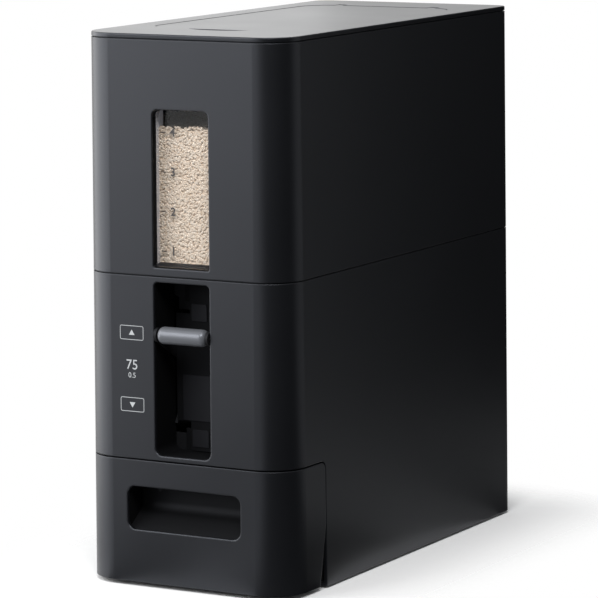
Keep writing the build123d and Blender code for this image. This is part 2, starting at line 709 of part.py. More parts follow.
def sector(start, arc, radius, left, right):
    """A pie slice of a disc about the rocker's axis."""
    far = 2 * radius
    wedge = side_slab(
        [(ROCKER_Y, ROCKER_HEIGHT), toward(start, far), toward(start + arc, far)], BASE_WIDTH
    )
    return wedge & rod_x(radius, left, right, ROCKER_Y, ROCKER_HEIGHT)


def gate(start, left, right):
    """A curved gate between two planes in X."""
    return sector(start, GATE_ARC_ANGLE, GATE_OUTER, left, right) - rod_x(
        GATE_INNER, left, right, ROCKER_Y, ROCKER_HEIGHT
    )


def tenons(start, left, right):
    """The middle stretch of a gate, which runs on through the cheeks."""
    middle = start + (GATE_ARC_ANGLE - TENON_ARC_ANGLE) / 2
    return sector(middle, TENON_ARC_ANGLE, GATE_OUTER, left, right) - rod_x(
        GATE_INNER, left, right, ROCKER_Y, ROCKER_HEIGHT
    )


def make_gate(start):
    return gate(start, -CHEEK_INNER, CHEEK_INNER) + tenons(start, -CHEEK_OUTER, CHEEK_OUTER)


def make_cheek():
    """The right-hand cheek: hub, arm to the grip, and the plates that carry the gates."""
    plate = rod_x(HUB_RADIUS, CHEEK_INNER, CHEEK_OUTER, ROCKER_Y, ROCKER_HEIGHT)
    for start in (LOWER_GATE_ANGLE, UPPER_GATE_ANGLE):
        plate += sector(start, GATE_ARC_ANGLE, CHEEK_RADIUS, CHEEK_INNER, CHEEK_OUTER)
    arm = block(
        CHEEK_INNER,
        CHEEK_OUTER,
        -LEVER_RADIUS,
        0,
        -ARM_WIDTH / 2,
        ARM_WIDTH / 2,
    )
    plate += Pos(0, ROCKER_Y, ROCKER_HEIGHT) * Rot(-LEVER_REST_ANGLE, 0, 0) * arm
    plate += rod_x(ARM_END_RADIUS, CHEEK_INNER, CHEEK_OUTER, GRIP_Y, GRIP_Z)
    plate -= rod_x(ROD_RADIUS, CHEEK_INNER, CHEEK_OUTER, GRIP_Y, GRIP_Z)
    plate -= rod_x(PIVOT_RADIUS + PIVOT_SLACK, CHEEK_INNER, CHEEK_OUTER, ROCKER_Y, ROCKER_HEIGHT)
    for start in (LOWER_GATE_ANGLE, UPPER_GATE_ANGLE):
        plate -= tenons(start, CHEEK_INNER, CHEEK_OUTER)
    return plate


def make_lever_grip():
    half = CHEEK_INNER - GRIP_END_GAP
    bar = rod_x(GRIP_RADIUS, -half, half, GRIP_Y, GRIP_Z)
    bar = fillet(bar.edges().filter_by(GeomType.CIRCLE), GRIP_ROUND)
    return bar - rod_x(ROD_RADIUS, -half, half, GRIP_Y, GRIP_Z)


def make_grip_rod():
    return rod_x(ROD_RADIUS, -CHEEK_OUTER, CHEEK_OUTER, GRIP_Y, GRIP_Z)


# Hopper
def funnel(grow, drop):
    """The space above the sloped floor, grown sideways and dropped to make the floor's underside."""
    half = CHAMBER_WIDTH / 2 + grow
    side_run = FUNNEL_RISE / math.tan(math.radians(FUNNEL_SIDE_ANGLE))
    rear_run = FUNNEL_RISE / math.tan(math.radians(FUNNEL_REAR_ANGLE))
    near = NECK_FRONT - grow
    far = NECK_REAR + grow
    low = Pos(0, (near + far) / 2, FUNNEL_LOW - drop) * Rectangle(2 * half, far - near)
    high = Pos(0, (near + far + rear_run) / 2, FUNNEL_LOW + FUNNEL_RISE - drop) * Rectangle(
        2 * (half + side_run), far - near + rear_run
    )
    return loft([low, high], ruled=True)


def front_shelf(grow, drop):
    """The space above the flat shelf between the neck and the front wall."""
    per_rise = 1 / math.tan(math.radians(FUNNEL_SIDE_ANGLE))
    low_half = CHAMBER_WIDTH / 2 + grow + (SHELF_TOP - FUNNEL_LOW) * per_rise
    high = FUNNEL_LOW + FUNNEL_RISE
    high_half = CHAMBER_WIDTH / 2 + grow + FUNNEL_RISE * per_rise
    flat = make_face(
        Polyline(
            (-low_half, SHELF_TOP - drop),
            (low_half, SHELF_TOP - drop),
            (high_half, high - drop),
            (-high_half, high - drop),
            close=True,
        )
    )
    return extrude(Plane.XZ.offset(-NECK_FRONT) * flat, amount=NECK_FRONT - BASE_FRONT + OVERRUN)


def make_hopper():
    inset = WALL + FIT
    floor = funnel(HOPPER_WALL, HOPPER_WALL) + front_shelf(HOPPER_WALL, HOPPER_WALL)
    floor &= case_prism(FOOT_PROUD, CASE_TOP, inset)
    body = floor + case_ring(SEAM_HEIGHT - RING_DROP, SEAM_HEIGHT + RING_RISE, inset, inset + HOPPER_WALL)
    body += case_ring(LOWER_TOP, UPPER_LOW, SEAM_REVEAL, inset + HOPPER_WALL)
    neck_half = CHAMBER_WIDTH / 2
    neck = block(
        -neck_half - CHAMBER_WALL,
        neck_half + CHAMBER_WALL,
        NECK_FRONT - CHAMBER_WALL,
        NECK_REAR + CHAMBER_WALL,
        ROCKER_HEIGHT,
        FUNNEL_LOW,
    )
    body += neck
    body -= rod_x(NECK_RADIUS, -BASE_WIDTH, BASE_WIDTH, ROCKER_Y, ROCKER_HEIGHT)
    body -= block(-neck_half, neck_half, NECK_FRONT, NECK_REAR, ROCKER_HEIGHT, FUNNEL_LOW)
    body -= funnel(0, 0) + front_shelf(0, 0)
    # Room in the ring for the window pane above the seam and the liner below it
    pane_half = WINDOW_WIDTH / 2 + PANE_LAND + RING_NOTCH
    ring_depth = inset + HOPPER_WALL + RING_NOTCH
    body -= block(
        -pane_half, pane_half, BASE_FRONT, BASE_FRONT + ring_depth + OVERRUN, UPPER_LOW, SEAM_HEIGHT + OVERRUN
    )
    liner_half = SLOT_WIDTH / 2 + LINER_FLANGE + RING_NOTCH
    shelf_low = SHELF_TOP - HOPPER_WALL
    body -= block(
        -liner_half, liner_half, BASE_FRONT, NECK_FRONT - CHAMBER_WALL - HOPPER_WALL, ROCKER_HEIGHT, shelf_low
    )
    return body


# Drawer and what it runs in
def make_drawer_front():
    shell = case_prism(DRAWER_LOW, DRAWER_TOP, 0)
    shell -= case_prism(DRAWER_LOW + DRAWER_FLOOR, DRAWER_TOP + OVERRUN, WALL)
    rear = BAY_EDGE - BAY_SIDE_GAP
    side = make_face(
        Polyline(
            (BASE_FRONT - OVERRUN, DRAWER_LOW - OVERRUN),
            (BASE_FRONT + DRAWER_FOOT_DEPTH, DRAWER_LOW - OVERRUN),
            (BASE_FRONT + DRAWER_FOOT_DEPTH, DRAWER_LOW),
            (rear, DRAWER_TAPER_HEIGHT),
            (rear, DRAWER_TOP),
            (BASE_FRONT - OVERRUN, DRAWER_TOP),
            close=True,
        )
    )
    corner = side.vertices().sort_by(Axis.Y)[-2:].sort_by(Axis.X)[-1:]
    side = fillet(corner, BAY_CORNER - BAY_SIDE_GAP)
    shell &= extrude(Plane.YZ * side, amount=BASE_WIDTH, both=True)
    near = BASE_FRONT - OVERRUN
    shell -= front_hole(PULL_WIDTH, PULL_LOW, PULL_HIGH, PULL_CORNER, PULL_CORNER, near, CUP_BACK)
    shell = fillet(on_front(shell, PULL_WIDTH, PULL_LOW, PULL_HIGH), OPENING_ROUND)
    floor_top = DRAWER_LOW + DRAWER_FLOOR
    for x in (-DRAWER_RIB_SPACING / 2, DRAWER_RIB_SPACING / 2):
        shell += block(
            x - DRAWER_RIB_WIDTH / 2,
            x + DRAWER_RIB_WIDTH / 2,
            BASE_FRONT + DRAWER_RIB_START,
            BASE_FRONT + DRAWER_FOOT_DEPTH,
            floor_top,
            TRAY_LOW,
        )
    return shell


def cup_slab(grow, half_width):
    """The pull pocket's side profile, grown by a wall."""
    back = PULL_FACE + PULL_DEPTH + grow
    roof = PULL_HIGH + PULL_RISE + grow
    flat = make_face(
        Polyline(
            (BASE_FRONT, PULL_LOW - grow),
            (PULL_FACE + WALL, PULL_LOW - grow),
            (back, PULL_LOW + PULL_RAMP - grow),
            (back, roof),
            (BASE_FRONT, roof),
            close=True,
        )
    )
    by_depth = flat.vertices().sort_by(Axis.X)[-2:].sort_by(Axis.Y)
    flat = fillet(by_depth[:1], PULL_FLOOR_ROUND + grow)
    roof_corner = flat.vertices().sort_by(Axis.Y)[-2:].sort_by(Axis.X)[-1:]
    flat = fillet(roof_corner, PULL_ROOF_ROUND + grow)
    return extrude(Plane.YZ * flat, amount=half_width, both=True)


def make_drawer_pull_cup():
    half = PULL_WIDTH / 2
    cup = cup_slab(CUP_WALL, half + CUP_WALL) - cup_slab(0, half)
    cup &= case_prism(DRAWER_LOW, DRAWER_TOP, WALL)
    for x in (-DRAWER_SCREW_SPACING / 2, DRAWER_SCREW_SPACING / 2):
        cup -= rod_y(SCREW_RADIUS, x, CUP_BACK - CUP_WALL, CUP_BACK, DRAWER_SCREW_HEIGHT)
    return cup


def make_drawer_tray():
    width = 2 * TRAY_HALF
    tray = top_hole(width, CUP_BACK, TRAY_REAR, TRAY_CORNER, TRAY_LOW, TRAY_HIGH)
    tray -= top_hole(
        width - 2 * TRAY_WALL,
        CUP_BACK + TRAY_WALL,
        TRAY_REAR - TRAY_WALL,
        TRAY_CORNER - TRAY_WALL,
        TRAY_LOW + TRAY_WALL,
        TRAY_HIGH + OVERRUN,
    )
    for x in (-DRAWER_SCREW_SPACING / 2, DRAWER_SCREW_SPACING / 2):
        tray -= rod_y(SCREW_RADIUS, x, CUP_BACK, CUP_BACK + TRAY_WALL, DRAWER_SCREW_HEIGHT)
    return tray


def make_drawer_screws():
    seat = CUP_BACK + TRAY_WALL
    screws = []
    for x in (-DRAWER_SCREW_SPACING / 2, DRAWER_SCREW_SPACING / 2):
        shank = rod_y(SCREW_RADIUS, x, CUP_BACK - CUP_WALL, seat, DRAWER_SCREW_HEIGHT)
        head = rod_y(SCREW_HEAD_RADIUS, x, seat, seat + SCREW_HEAD_THICK, DRAWER_SCREW_HEIGHT)
        screws.append(shank + head)
    return Compound(children=screws)


def make_drawer_runner():
    """The right-hand runner: a lip under the tray, a guide beside it and a stop behind it."""
    left = TRAY_HALF - RUNNER_LIP_WIDTH
    guide = TRAY_HALF + RUNNER_SIDE_GAP
    runner = block(left, RUNNER_OUTER, RUNNER_FRONT, RUNNER_REAR, BASE_TOP, BASE_TOP + RUNNER_LIP_THICK)
    runner += block(guide, RUNNER_OUTER, RUNNER_FRONT, RUNNER_REAR, BASE_TOP, BASE_TOP + RUNNER_HEIGHT)
    stop = TRAY_REAR + RUNNER_STOP_GAP
    runner += block(left, RUNNER_OUTER, stop, RUNNER_REAR, BASE_TOP, BASE_TOP + RUNNER_HEIGHT)
    for x, y in runner_screw_spots():
        runner -= rod_z(SCREW_RADIUS, x, y, BASE_TOP, BASE_TOP + RUNNER_LIP_THICK)
    return runner


def make_runner_screws():
    screws = []
    for x, y in runner_screw_spots():
        shank = rod_z(SCREW_RADIUS, x, y, FLOOR_TOP, BASE_TOP + RUNNER_LIP_THICK)
        screws.append(both_sides(shank))
    return Compound(children=screws)


def make_chute_deck():
    deck = case_prism(DECK_LOW, DECK_TOP, WALL + FIT)
    deck &= block(-BASE_WIDTH, BASE_WIDTH, BASE_FRONT, DECK_REAR, DECK_LOW, DECK_TOP)
    near = PANEL_BACK + TAB_THICK + PEG_PROUD + DECK_GAP
    far = ROCKER_Y + CHUTE_REAR_REACH
    half = CHEEK_OUTER + CHUTE_SIDE_GAP
    top = ROCKER_HEIGHT - CHEEK_RADIUS - CHUTE_TOP_GAP
    deck += block(-half - CHUTE_WALL, half + CHUTE_WALL, near, far + CHUTE_WALL, DECK_LOW, top)
    deck -= block(-half, half, near + CHUTE_WALL, far, DECK_LOW, top)
    for x, y in deck_screw_spots():
        deck -= both_sides(rod_z(SCREW_RADIUS, x, y, DECK_LOW, DECK_TOP))
    return deck


def make_deck_screws():
    reach = DECK_THICK + DECK_LEDGE_THICK
    screws = [screw_z(x, y, DECK_TOP, reach, False) for x, y in deck_screw_spots()]
    return Compound(children=[both_sides(screw) for screw in screws])


def left_of(piece):
    """The left-hand twin of a right-hand piece."""
    return mirror(piece, about=Plane.YZ)


def make_all():
    pieces = {
        "lower_case": make_lower_case(),
        "base_plate": make_base_plate(),
        "base_screws": make_base_screws(),
        "upper_case": make_upper_case(),
        "window_pane": make_window_pane(),
        "lid_frame": make_lid_frame(),
        "lid_flap": make_lid_flap(),
        "hinge_pin_left": make_hinge_pin(-1),
        "hinge_pin_right": make_hinge_pin(1),
        "lever_recess_liner": make_lever_recess_liner(),
        "measuring_chamber": make_measuring_chamber(),
        "pivot_pin_left": left_of(make_pivot_pin()),
        "pivot_pin_right": make_pivot_pin(),
        "rocker_cheek_left": left_of(make_cheek()),
        "rocker_cheek_right": make_cheek(),
        "lower_gate": make_gate(LOWER_GATE_ANGLE),
        "upper_gate": make_gate(UPPER_GATE_ANGLE),
        "lever_grip": make_lever_grip(),
        "grip_rod": make_grip_rod(),
        "hopper": make_hopper(),
        "drawer_front": make_drawer_front(),
        "drawer_pull_cup": make_drawer_pull_cup(),
        "drawer_tray": make_drawer_tray(),
        "drawer_screws": make_drawer_screws(),
        "drawer_runner_left": left_of(make_drawer_runner()),
        "drawer_runner_right": make_drawer_runner(),
        "runner_screws": make_runner_screws(),
        "chute_deck": make_chute_deck(),
        "deck_screws": make_deck_screws(),
    }
    for row, (x, y) in foot_spots().items():
        pieces["foot_" + row + "_left"] = make_foot(-x, y)
        pieces["foot_" + row + "_right"] = make_foot(x, y)
    return pieces


if __name__ == "__main__":
    os.makedirs("parts", exist_ok=True)
    for name, piece in make_all().items():
        export_step(piece, "parts/" + name + ".step")
    print("rocker axis", ROCKER_Y, ROCKER_HEIGHT, "grip", GRIP_Y, GRIP_Z)
    print("hinge axis", HINGE_Y, HINGE_Z)
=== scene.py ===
"""Dresses a slim rice bin: its finishes, the rice behind its window, its printed marks and a small studio."""

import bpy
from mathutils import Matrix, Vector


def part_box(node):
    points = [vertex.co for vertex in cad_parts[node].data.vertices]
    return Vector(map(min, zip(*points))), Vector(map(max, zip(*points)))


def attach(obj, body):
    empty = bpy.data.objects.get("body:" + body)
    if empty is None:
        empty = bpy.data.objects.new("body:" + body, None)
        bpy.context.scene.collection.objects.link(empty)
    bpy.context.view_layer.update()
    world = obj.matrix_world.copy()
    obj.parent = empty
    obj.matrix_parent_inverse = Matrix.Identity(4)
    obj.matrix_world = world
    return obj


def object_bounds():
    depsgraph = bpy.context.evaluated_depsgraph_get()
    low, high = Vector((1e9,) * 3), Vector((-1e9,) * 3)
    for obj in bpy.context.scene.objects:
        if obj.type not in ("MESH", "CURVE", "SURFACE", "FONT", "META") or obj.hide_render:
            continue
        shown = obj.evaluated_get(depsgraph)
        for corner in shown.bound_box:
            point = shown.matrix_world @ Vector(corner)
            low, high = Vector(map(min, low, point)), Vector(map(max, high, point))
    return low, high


bl_info = {
    "name": "Rice Bin Dresser",
    "version": (1, 0, 0),
    "blender": (4, 5, 0),
    "location": "View3D > Sidebar > Rice Bin",
    "description": "Finishes, rice, printed marks and a small studio for a slim rice bin",
    "category": "Object",
}

import math
import random

import bmesh
import bpy
from bpy.props import FloatProperty, FloatVectorProperty, IntProperty, PointerProperty
from mathutils import Matrix, Vector

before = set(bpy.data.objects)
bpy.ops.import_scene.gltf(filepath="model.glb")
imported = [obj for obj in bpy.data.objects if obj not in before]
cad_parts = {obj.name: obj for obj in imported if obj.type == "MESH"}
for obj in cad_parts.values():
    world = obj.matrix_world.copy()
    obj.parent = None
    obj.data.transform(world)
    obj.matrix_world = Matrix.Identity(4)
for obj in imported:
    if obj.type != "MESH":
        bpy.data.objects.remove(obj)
CAD_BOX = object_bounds()

MM = 0.001

# CAD nodes that share a finish
CASE_NODES = ("lower_case", "upper_case", "drawer_front")
LID_NODES = ("lid_frame", "lid_flap")
INNER_NODES = (
    "base_plate",
    "hopper",
    "chute_deck",
    "drawer_tray",
    "drawer_runner_left",
    "drawer_runner_right",
    "rocker_cheek_left",
    "rocker_cheek_right",
    "lower_gate",
    "upper_gate",
)
PANEL_NODES = ("lever_recess_liner", "measuring_chamber")
CUP_NODES = ("drawer_pull_cup",)
GRIP_NODES = ("lever_grip",)
PANE_NODES = ("window_pane",)
STEEL_NODES = (
    "base_screws",
    "deck_screws",
    "runner_screws",
    "hinge_pin_left",
    "hinge_pin_right",
    "pivot_pin_left",
    "pivot_pin_right",
    "grip_rod",
)
DARK_STEEL_NODES = ("drawer_screws",)
FOOT_NODES = ("foot_front_left", "foot_front_right", "foot_rear_left", "foot_rear_right")

# Lines of the bin that the marks and the rice follow, read from the frame
DRAWER_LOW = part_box("drawer_front")[0]
UPPER_LOW, UPPER_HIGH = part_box("upper_case")
PANE_LOW, PANE_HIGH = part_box("window_pane")
HOPPER_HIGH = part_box("hopper")[1]
CHAMBER_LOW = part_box("measuring_chamber")[0]
FRONT_SLOPE = (UPPER_LOW.y - DRAWER_LOW.y) / (UPPER_LOW.z - DRAWER_LOW.z)


def front_y(height):
    """Y of the outer front face at a height above the floor."""
    return DRAWER_LOW.y + (height - DRAWER_LOW.z) * FRONT_SLOPE


# Raised pads on the recess panel: half width, low edge, high edge
RECESS_PADS = (
    (5.8 * MM, 176.8 * MM, 188.2 * MM),
    (13.0 * MM, 110.2 * MM, 140.6 * MM),
    (6.2 * MM, 92.8 * MM, 104.2 * MM),
)
PAD_RISE = 0.5 * MM
PAD_CORNER = 0.8 * MM
PAD_CORNER_STEPS = 3

# The window's opening and its clear pane, with depths counted from the front face
PANE_LAND = 5.0 * MM
PANE_THICK = 1.8 * MM
PANE_LIP_DEPTH = PANE_LOW.y - front_y(PANE_LOW.z)
PANE_BACK_DEPTH = PANE_HIGH.y - front_y(PANE_HIGH.z)
PANE_FACE_DEPTH = PANE_BACK_DEPTH - PANE_THICK
WINDOW_LOW = PANE_LOW.z + PANE_LAND
WINDOW_HIGH = PANE_HIGH.z - PANE_LAND
WINDOW_HALF = 21.0 * MM

# Thin plates at the window's sides: the frost, the black lining and the ribs behind the pane, with the
# thinnest and densest cover of the two frosted ones
PLATE_GAP = 0.05 * MM
PLATE_THICK = 0.06 * MM
LINING_NEAR = 0.9 * MM
LINING_LOW_CORNER = 1.2 * MM
LINING_HIGH_CORNER = 4.0 * MM
RIB_DEPTH = 6.4 * MM
RIB_OUT = 1.3 * MM
RIB_BURIED = 3.0 * MM
WALL_COVER = (0.16, 0.27)
RIB_COVER = (0.75, 0.92)

# The window's sloped sill
SILL_HALF = 20.6 * MM
SILL_NEAR = 0.5 * MM
SILL_EDGE = 0.15 * MM
SILL_RISE = 1.6 * MM

# The scale printed on the pane
SCALE_NUMBERS = (1, 2, 3, 4)
SCALE_GAP = 0.02 * MM
NUMBER_X = -10.6 * MM
NUMBER_BOLD = 0.16 * MM
TICK_X = -17.8 * MM
TICK = ((-2.0 * MM, -0.3 * MM), (2.0 * MM, -0.3 * MM), (2.0 * MM, 0.3 * MM), (-2.0 * MM, 0.3 * MM))

# The marks beside the lever: heights of the signs, their arrow, and each number with its size and height
SIGN_UP = 170.0 * MM
SIGN_DOWN = 122.2 * MM
SIGN_CORNER = 1.2 * MM
SIGN_CORNER_STEPS = 4
ARROW = ((-2.2 * MM, -1.5 * MM), (2.2 * MM, -1.5 * MM), (0.0, 2.1 * MM))
LEVER_NUMBERS = (("75", 6.4 * MM, 148.5 * MM), ("0.5", 3.4 * MM, 141.6 * MM))

# The body of the rice, and how far to each side grains lie against the pane
WINDOW_REACH = 26.0 * MM
BED_GAP = 1.2 * MM
BED_SIDE = UPPER_HIGH.x - 6.0 * MM
BED_REAR = UPPER_HIGH.y - 8.0 * MM
BED_TOP = 1.4 * MM
BED_CORNER = 16.0 * MM
BED_MARGIN = 1.0 * MM
BED_FOOT_HALF = 1.5 * WINDOW_REACH

# Layers of grains at the window: depth behind the pane, share of the spacing, sides and rings of a grain
WINDOW_LAYERS = (
    (0.1 * MM, 1.0, 6, 5),
    (0.8 * MM, 1.3, 5, 4),
)
TOP_GRAIN = (5, 4)
TOP_WAVER = (-0.6 * MM, 0.3 * MM)

# How the grains lie: rows and columns as shares of the spacing, sizes as shares, angles in radians
ROW_SHARE = 0.8
COLUMN_SHARE = 1.1
CREST_SHARE = 0.4
TOP_SHARE = 2.2
LINE_SPREAD = (0.1, 0.9)
TOP_SPREAD = (-0.5, 0.5)
GRAIN_SIZE_SHARES = (0.86, 1.1)
GRAIN_LEAN = 0.25
GRAIN_ROLL = 0.45
GRAIN_PLUMP = 0.8
GRAIN_TAPER = 0.16

# Offsets from the rice's seed for draws of their own
TOP_PLACE_DRAW = 40
TOP_TURN_DRAW = 50
TOP_HEIGHT_DRAW = 60

# Tones of rice: place along the ramp, colour
RICE_TONES = (
    (0.0, (0.5, 0.4, 0.305)),
    (0.25, (0.55, 0.445, 0.35)),
    (0.6, (0.57, 0.47, 0.375)),
    (1.0, (0.6, 0.515, 0.425)),
)

# Slightly cool reflections of the dark plastics, and the tint of frosted clear plastic
SHEEN = (0.85, 0.89, 1.0, 1.0)
FROST = (0.86, 0.86, 0.92, 1.0)

# Lamps in metres: name, place, width, height, and the setting that holds the power
LAMPS = (
    ("key_lamp", (-1.15, -1.65, 1.1), 1.3, 1.3, "key_power"),
    ("side_lamp", (-0.83, -0.34, 0.36), 1.1, 0.9, "side_power"),
    ("rear_lamp", (-1.3, 1.5, 0.7), 0.9, 0.7, "rear_power"),
    ("front_lamp", (0.6, -1.2, 1.5), 0.9, 0.6, "front_power"),
)

# Cards round the bin: name, setting of the shade, bearings in degrees from the front to the right at which a
# card starts, is solid and stops, distance of its wall in metres and height of that wall. Its strip of floor
# begins on an oval of the near half axes, a little above the floor
CARD_LIFT = 2.0 * MM
CARD_NEAR = (0.1, 0.2)
CARD_STEPS = 24
CARDS = (
    ("front_card", "card_shade", -12.0, 16.0, 100.0, 0.85, 1.2),
    ("side_card", "side_shade", 100.0, 100.0, 160.0, 0.85, 1.2),
    ("rear_card", "card_shade", 134.0, 134.0, 190.0, 0.6, 1.0),
    ("floor_card", "card_shade", -36.0, -16.0, -8.0, 1.4, 2 * CARD_LIFT),
)

# The round floor's steps, turns in degrees and the camera's sensor in millimetres
FLOOR_STEPS = 72
FULL_TURN = 360.0
QUARTER_TURN = 90.0
SENSOR_WIDTH = 36.0


# Settings that a user would change
def colour_setting(name, description, default):
    """A colour."""
    return FloatVectorProperty(
        name=name, description=description, subtype="COLOR", size=3, min=0.0, max=1.0, default=default
    )


def length_setting(name, description, default):
    """A length in metres."""
    return FloatProperty(name=name, description=description, unit="LENGTH", default=default)


def angle_setting(name, description, degrees):
    """An angle, given in degrees."""
    return FloatProperty(name=name, description=description, subtype="ANGLE", default=math.radians(degrees))


def power_setting(name, description, default):
    """A lamp's power in watts."""
    return FloatProperty(name=name, description=description, unit="POWER", default=default)


def shade_setting(name, description, default):
    """A grey from black at 0 to white at 1."""
    return FloatProperty(
        name=name, description=description, subtype="FACTOR", min=0.0, max=1.0, default=default
    )


class FinishSettings(bpy.types.PropertyGroup):
    """Colours of the bin's surfaces."""

    case: colour_setting(
        "Case", "Black plastic of the case, the lid and the drawer front", (0.0048, 0.0051, 0.006)
    )
    inner: colour_setting(
        "Inner pieces",
        "Dark plastic of the hopper, the tray and the other inner pieces",
        (0.006, 0.006, 0.0065),
    )
    # Kept near black as painted shade: it stands for the deep, unlit openings of the lever recess and the
    # pull cup.
    panel: colour_setting(
        "Recess panel",
        "Deep black plastic of the lever recess, the measuring chamber, the pull cup and the window's lining",
        (0.0028, 0.0028, 0.003),
    )
    pad: colour_setting(
        "Recess pads",
        "Dark grey plastic of the recess's raised pads and the window's sill",
        (0.006, 0.006, 0.007),
    )
    grip: colour_setting("Lever grip", "Satin grey of the lever grip", (0.115, 0.12, 0.132))
    pane: colour_setting("Window pane", "Tint of the clear window", (0.96, 0.97, 0.985))
    rubber: colour_setting("Feet", "Rubber of the feet", (0.02, 0.02, 0.02))
    steel: colour_setting("Steel", "Plated steel of the pins and screws", (0.55, 0.55, 0.56))
    dark_steel: colour_setting("Dark steel", "Blackened steel of the drawer's screws", (0.03, 0.03, 0.032))
    print_ink: colour_setting("Front print", "Pale ink of the marks beside the lever", (0.42, 0.435, 0.45))
    scale_ink: colour_setting("Window scale", "Dark ink of the numbers on the window", (0.045, 0.04, 0.04))


class RiceSettings(bpy.types.PropertyGroup):
    """The rice that shows behind the window and under the fill flap."""

    level: length_setting("Level", "Height of the rice above the floor that the bin stands on", 305.0 * MM)
    grain_length: length_setting("Grain length", "Length of one grain", 3.0 * MM)
    grain_width: length_setting("Grain width", "Width of one grain", 1.75 * MM)
    grain_thick: length_setting("Grain thickness", "Thickness of one grain", 1.4 * MM)
    spacing: length_setting("Spacing", "Distance between neighbouring grains in one layer", 1.5 * MM)
    seed: IntProperty(
        name="Seed",
        description="Start of the grains' random places",
        default=11,
    )


class MarkSettings(bpy.types.PropertyGroup):
    """Sizes and places of the printed marks."""

    scale_step: length_setting("Scale step", "Height from one number of the scale to the next", 26.05 * MM)
    scale_first: length_setting("First mark", "Height of the lowest number above the floor", 224.0 * MM)
    scale_number: length_setting("Scale number", "Height of a number on the window", 5.4 * MM)
    badge_width: length_setting("Sign width", "Width of an outlined sign beside the lever", 18.0 * MM)
    badge_height: length_setting("Sign height", "Height of an outlined sign beside the lever", 9.5 * MM)
    badge_line: length_setting("Line width", "Width of a sign's outline", 0.38 * MM)
    badge_x: length_setting("Sign place", "How far left of the middle the signs lie", 38.2 * MM)
    film: length_setting("Ink thickness", "Thickness of the printed ink", 0.06 * MM)


class StageSettings(bpy.types.PropertyGroup):
    """Camera, lamps, floor and reflector cards."""

    camera_place: FloatVectorProperty(
        name="Camera place",
        description="Where the camera stands",
        subtype="TRANSLATION",
        unit="LENGTH",
        size=3,
        default=(1.2149, -2.17755, 0.5467),
    )
    camera_yaw: angle_setting("Camera yaw", "Turn of the camera about the upright axis", 29.2568)
    camera_pitch: angle_setting("Camera pitch", "How far the camera looks down", 8.5349)
    camera_roll: angle_setting("Camera roll", "Tilt of the camera about its line of sight", -0.4871)
    lens: FloatProperty(
        name="Lens",
        description="Focal length in millimetres on a 36 mm sensor",
        unit="CAMERA",
        default=219.85,
    )
    floor_colour: colour_setting("Floor", "Colour of the pale floor", (0.86, 0.86, 0.86))
    floor_reach: length_setting(
        "Floor reach", "Distance from the bin at which the floor has faded into the background", 0.1
    )
    ambient: FloatProperty(
        name="Ambient light",
        description="Strength of the light from all round",
        default=0.4,
    )
    key_power: power_setting("Key lamp", "Power of the large lamp at the front left", 22.0)
    side_power: power_setting("Side lamp", "Power of the wide lamp close to the left of the bin", 7.5)
    rear_power: power_setting("Rear lamp", "Power of the lamp behind the bin", 1.1)
    front_power: power_setting("Front lamp", "Power of the lamp high in front of the bin", 29.0)
    card_shade: shade_setting("Dark cards", "How light the dark cards round the bin are", 0.012)
    side_shade: shade_setting("Grey card", "How light the card at the bin's right is", 0.35)


class RiceBinSettings(bpy.types.PropertyGroup):
    """All settings of the rice bin."""

    finish: PointerProperty(type=FinishSettings, name="Finish", description="Colours of the bin's surfaces")
    rice: PointerProperty(type=RiceSettings, name="Rice", description="The rice in the bin")
    marks: PointerProperty(type=MarkSettings, name="Marks", description="The printed marks")
    stage: PointerProperty(type=StageSettings, name="Stage", description="Camera, lamps and floor")


def settings():
    """The scene's settings of the rice bin."""
    return bpy.context.scene.rice_bin


# Shader nodes
def set_values(node, **values):
    """Sets a node's sockets, named with _ for a space."""
    for socket, value in values.items():
        node.inputs[socket.replace("_", " ")].default_value = value


def add_node(tree, kind, operation=None, **values):
    """A shader node, with its operation and the values of its sockets."""
    node = tree.nodes.new("ShaderNode" + kind)
    if operation:
        node.operation = operation
    set_values(node, **values)
    return node


def wire(tree, *links):
    """Joins nodes: each link is a node, its output, the next node and its input."""
    for source, output, target, socket in links:
        tree.links.new(source.outputs[output], target.inputs[socket])


def colour_mix(tree):
    """A node that mixes two colours."""
    mix = tree.nodes.new("ShaderNodeMix")
    mix.data_type = "RGBA"
    return mix


def with_alpha(colour):
    """A colour with full cover."""
    return (*colour, 1.0)


# Node groups that several finishes share
def new_group(name, inputs, outputs):
    """A shader node group with named sockets, and its two end nodes."""
    group = bpy.data.node_groups.new(name, "ShaderNodeTree")
    for socket, kind, default in inputs:
        made = group.interface.new_socket(name=socket, in_out="INPUT", socket_type=kind)
        made.default_value = default
    for socket, kind in outputs:
        group.interface.new_socket(name=socket, in_out="OUTPUT", socket_type=kind)
    start = group.nodes.new("NodeGroupInput")
    end = group.nodes.new("NodeGroupOutput")
    return group, start, end


def place_group(tree, group, **values):
    """A group's node in a material, with its values set."""
    node = tree.nodes.new("ShaderNodeGroup")
    node.node_tree = group
    set_values(node, **values)
    return node


